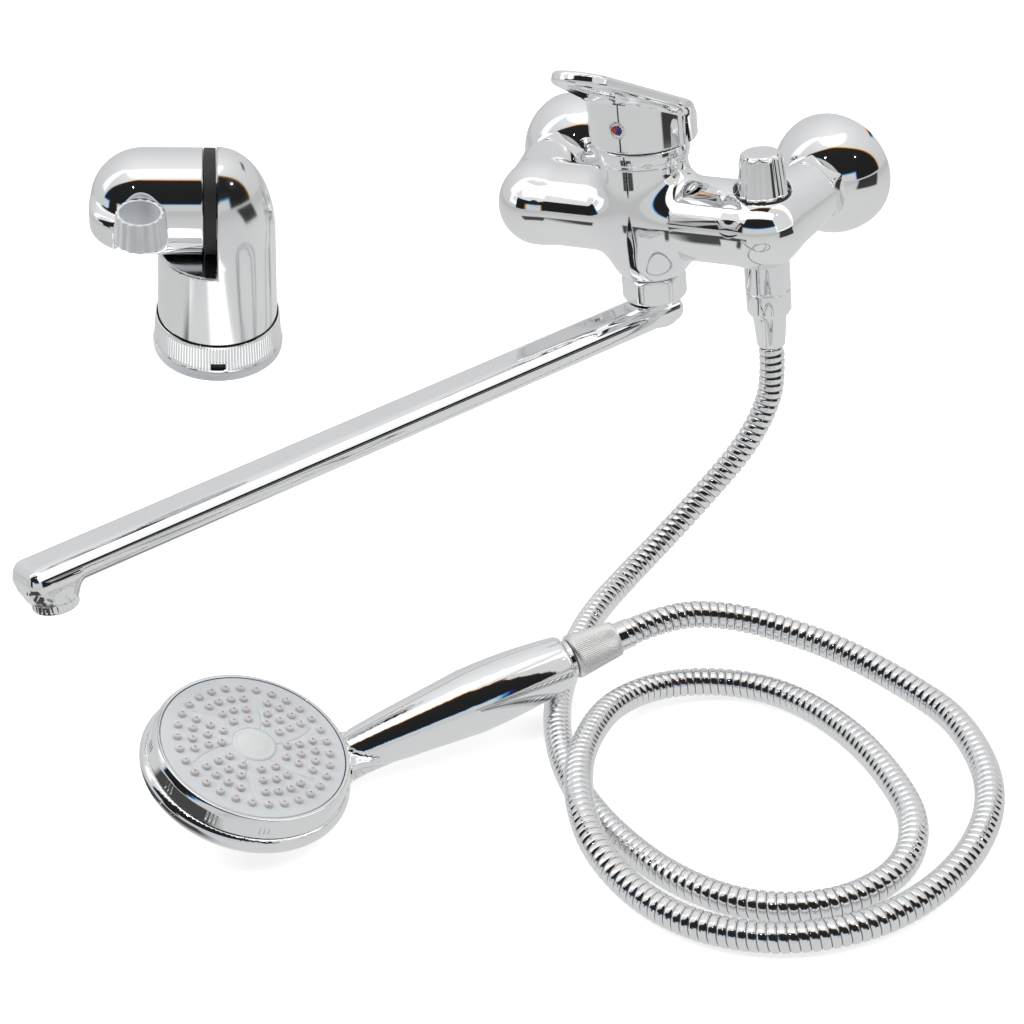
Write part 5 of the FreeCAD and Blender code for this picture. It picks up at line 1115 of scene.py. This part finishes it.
def make_floor():
    """White floor that keeps soft shadows; reflections see it greyer, with darker parts."""
    material = bpy.data.materials.new("pale_floor")
    material.use_nodes = True
    tree = material.node_tree
    tree.nodes.clear()
    output = tree.nodes.new("ShaderNodeOutputMaterial")
    matt = tree.nodes.new("ShaderNodeBsdfDiffuse")
    matt.inputs["Color"].default_value = FLOOR_TONE
    glow = tree.nodes.new("ShaderNodeEmission")
    path = tree.nodes.new("ShaderNodeLightPath")
    tree.links.new(spread(tree, path.outputs["Is Camera Ray"], 0.0, FLOOR_GLOW, 0, 1),
                   glow.inputs["Strength"])
    seen = tree.nodes.new("ShaderNodeAddShader")
    tree.links.new(matt.outputs[0], seen.inputs[0])
    tree.links.new(glow.outputs[0], seen.inputs[1])
    mirrored = tree.nodes.new("ShaderNodeEmission")
    tree.links.new(mirrored_floor(tree), mirrored.inputs["Strength"])
    choose = tree.nodes.new("ShaderNodeMixShader")
    tree.links.new(path.outputs["Is Glossy Ray"], choose.inputs["Fac"])
    tree.links.new(seen.outputs[0], choose.inputs[1])
    tree.links.new(mirrored.outputs[0], choose.inputs[2])
    tree.links.new(choose.outputs[0], output.inputs["Surface"])
    mesh = bpy.data.meshes.new("floor")
    corners = ((-1, -1), (1, -1), (1, 1), (-1, 1))
    mesh.from_pydata([(x * FLOOR_HALF, y * FLOOR_HALF, FLOOR_HEIGHT) for x, y in corners],
                     [], [(0, 1, 2, 3)])
    mesh.materials.append(material)
    add_object("floor", mesh)


MIDDLE = Vector((0.03, -0.22, -0.06))
PANEL_DISTANCE = 3.0


def direction(azimuth, elevation):
    """Unit vector from the object; azimuth 0 is toward -Y and 90 toward +X."""
    turned_by = math.radians(azimuth)
    raised = math.radians(elevation)
    return Vector((math.sin(turned_by) * math.cos(raised), -math.cos(turned_by) * math.cos(raised),
                   math.sin(raised)))


def facing(item, spot, target):
    item.location = spot
    item.rotation_euler = (target - spot).to_track_quat("-Z", "Y").to_euler()


def lamp(name, azimuth, elevation, distance, size, power, mirrored=False):
    """Square lamp that looks at the middle of the object; reflections show it only if mirrored."""
    light = bpy.data.lights.new(name, "AREA")
    light.size = size
    light.energy = power
    item = add_object(name, light)
    item.visible_glossy = mirrored
    facing(item, MIDDLE + direction(azimuth, elevation) * distance, MIDDLE)


def panel(name, target, azimuth, elevation, wide, tall, brightness, pieces):
    """Flat panel that only the named pieces mirror; wide and tall are degrees seen from the target."""
    light = bpy.data.lights.new(name, "AREA")
    light.shape = "RECTANGLE"
    light.size = 2 * PANEL_DISTANCE * math.tan(math.radians(wide / 2))
    light.size_y = 2 * PANEL_DISTANCE * math.tan(math.radians(tall / 2))
    light.energy = brightness * math.pi * light.size * light.size_y
    item = add_object(name, light)
    item.visible_camera = False
    facing(item, target + direction(azimuth, elevation) * PANEL_DISTANCE, target)
    lit = bpy.data.collections.new(name + "_pieces")
    for piece in pieces:
        lit.objects.link(bpy.data.objects[piece])
    item.light_linking.receiver_collection = lit


MIXER_PIECES = ("mixer_body_casting", "lever_casting", "left_hexagon_nut", "right_hexagon_nut",
                "cartridge_cover", "fluted_knob", "outlet_neck", "hose_nut_ring", "spout_hexagon_nut")
SPOUT_PIECES = ("spout_body", "aerator_ring")
BRACKET_PIECES = ("bracket_post", "bracket_barrel", "knurled_lock_ring")
HANDSET_PIECES = ("handset_shell", "selector_ring", "grip_end_ring", "cone_nut")


def make_panels():
    mixer = Vector((0.03, -0.09, 0.0))
    handset = Vector((0.03, -0.33, -0.15))
    panel("upper_panel", mixer, 15, 47, 80, 20, 1.15, MIXER_PIECES)
    panel("left_panel", mixer, -43, 40, 44, 36, 0.85, MIXER_PIECES)
    panel("left_low_panel", mixer, -55, 14, 22, 18, 0.8, MIXER_PIECES)
    panel("right_panel", mixer, 92, 18, 56, 76, 0.75, MIXER_PIECES)
    panel("spout_panel", Vector((-0.07, -0.25, -0.06)), 84, 42, 84, 56, 1.1, SPOUT_PIECES)
    panel("handset_panel", handset, 102, 20, 47, 80, 0.72, HANDSET_PIECES)
    panel("bracket_plate", Vector((-0.1, -0.48, 2.8175)), 0, -90, 6.5, 6.5, 0.68, BRACKET_PIECES)


def make_light():
    lamp("left_box", -50, 52, 1.9, 1.1, 13)
    lamp("right_box", 95, 38, 1.9, 1.1, 8)
    lamp("top_box", 20, 86, 1.9, 1.4, 10)
    lamp("right_glint", 84, 37, 2.4, 0.05, 0.5, True)
    lamp("front_glint", 7, 50, 2.4, 0.05, 0.5, True)


CAMERA_PLACE = (0.6077, -1.1858, 0.4851)
CAMERA_AZIMUTH = 32.5
CAMERA_PITCH = 27.3
CAMERA_ROLL = 6.4
FOCAL_PIXELS = 2600.0
PICTURE_PIXELS = 1024.0
SENSOR_WIDTH = 36.0


def make_camera():
    camera = add_object("camera", bpy.data.cameras.new("camera"))
    roll = math.radians(CAMERA_ROLL)
    back = direction(CAMERA_AZIMUTH, CAMERA_PITCH)
    aside = math.radians(CAMERA_AZIMUTH)
    level = Vector((math.cos(aside), math.sin(aside), 0))
    upright = back.cross(level)
    right = level * math.cos(roll) - upright * math.sin(roll)
    up = level * math.sin(roll) + upright * math.cos(roll)
    rows = [(right[axis], up[axis], back[axis], CAMERA_PLACE[axis]) for axis in range(3)]
    camera.matrix_world = Matrix(rows + [(0, 0, 0, 1)])
    camera.data.sensor_width = SENSOR_WIDTH
    camera.data.lens = FOCAL_PIXELS / PICTURE_PIXELS * SENSOR_WIDTH
    camera.data.clip_start = 0.05
    camera.data.clip_end = 50.0
    bpy.context.scene.camera = camera


make_hose()
make_castings()
make_wall_side()
make_controls()
make_outlet()
make_spout_fittings()
make_face()
make_spray_ring()
make_handset_end()
make_lock_ring()
make_bracket_rings()
make_liner()
dress_kept_nodes()
make_world()
make_floor()
make_light()
make_panels()
make_camera()
bpy.context.scene.view_settings.view_transform = "Standard"
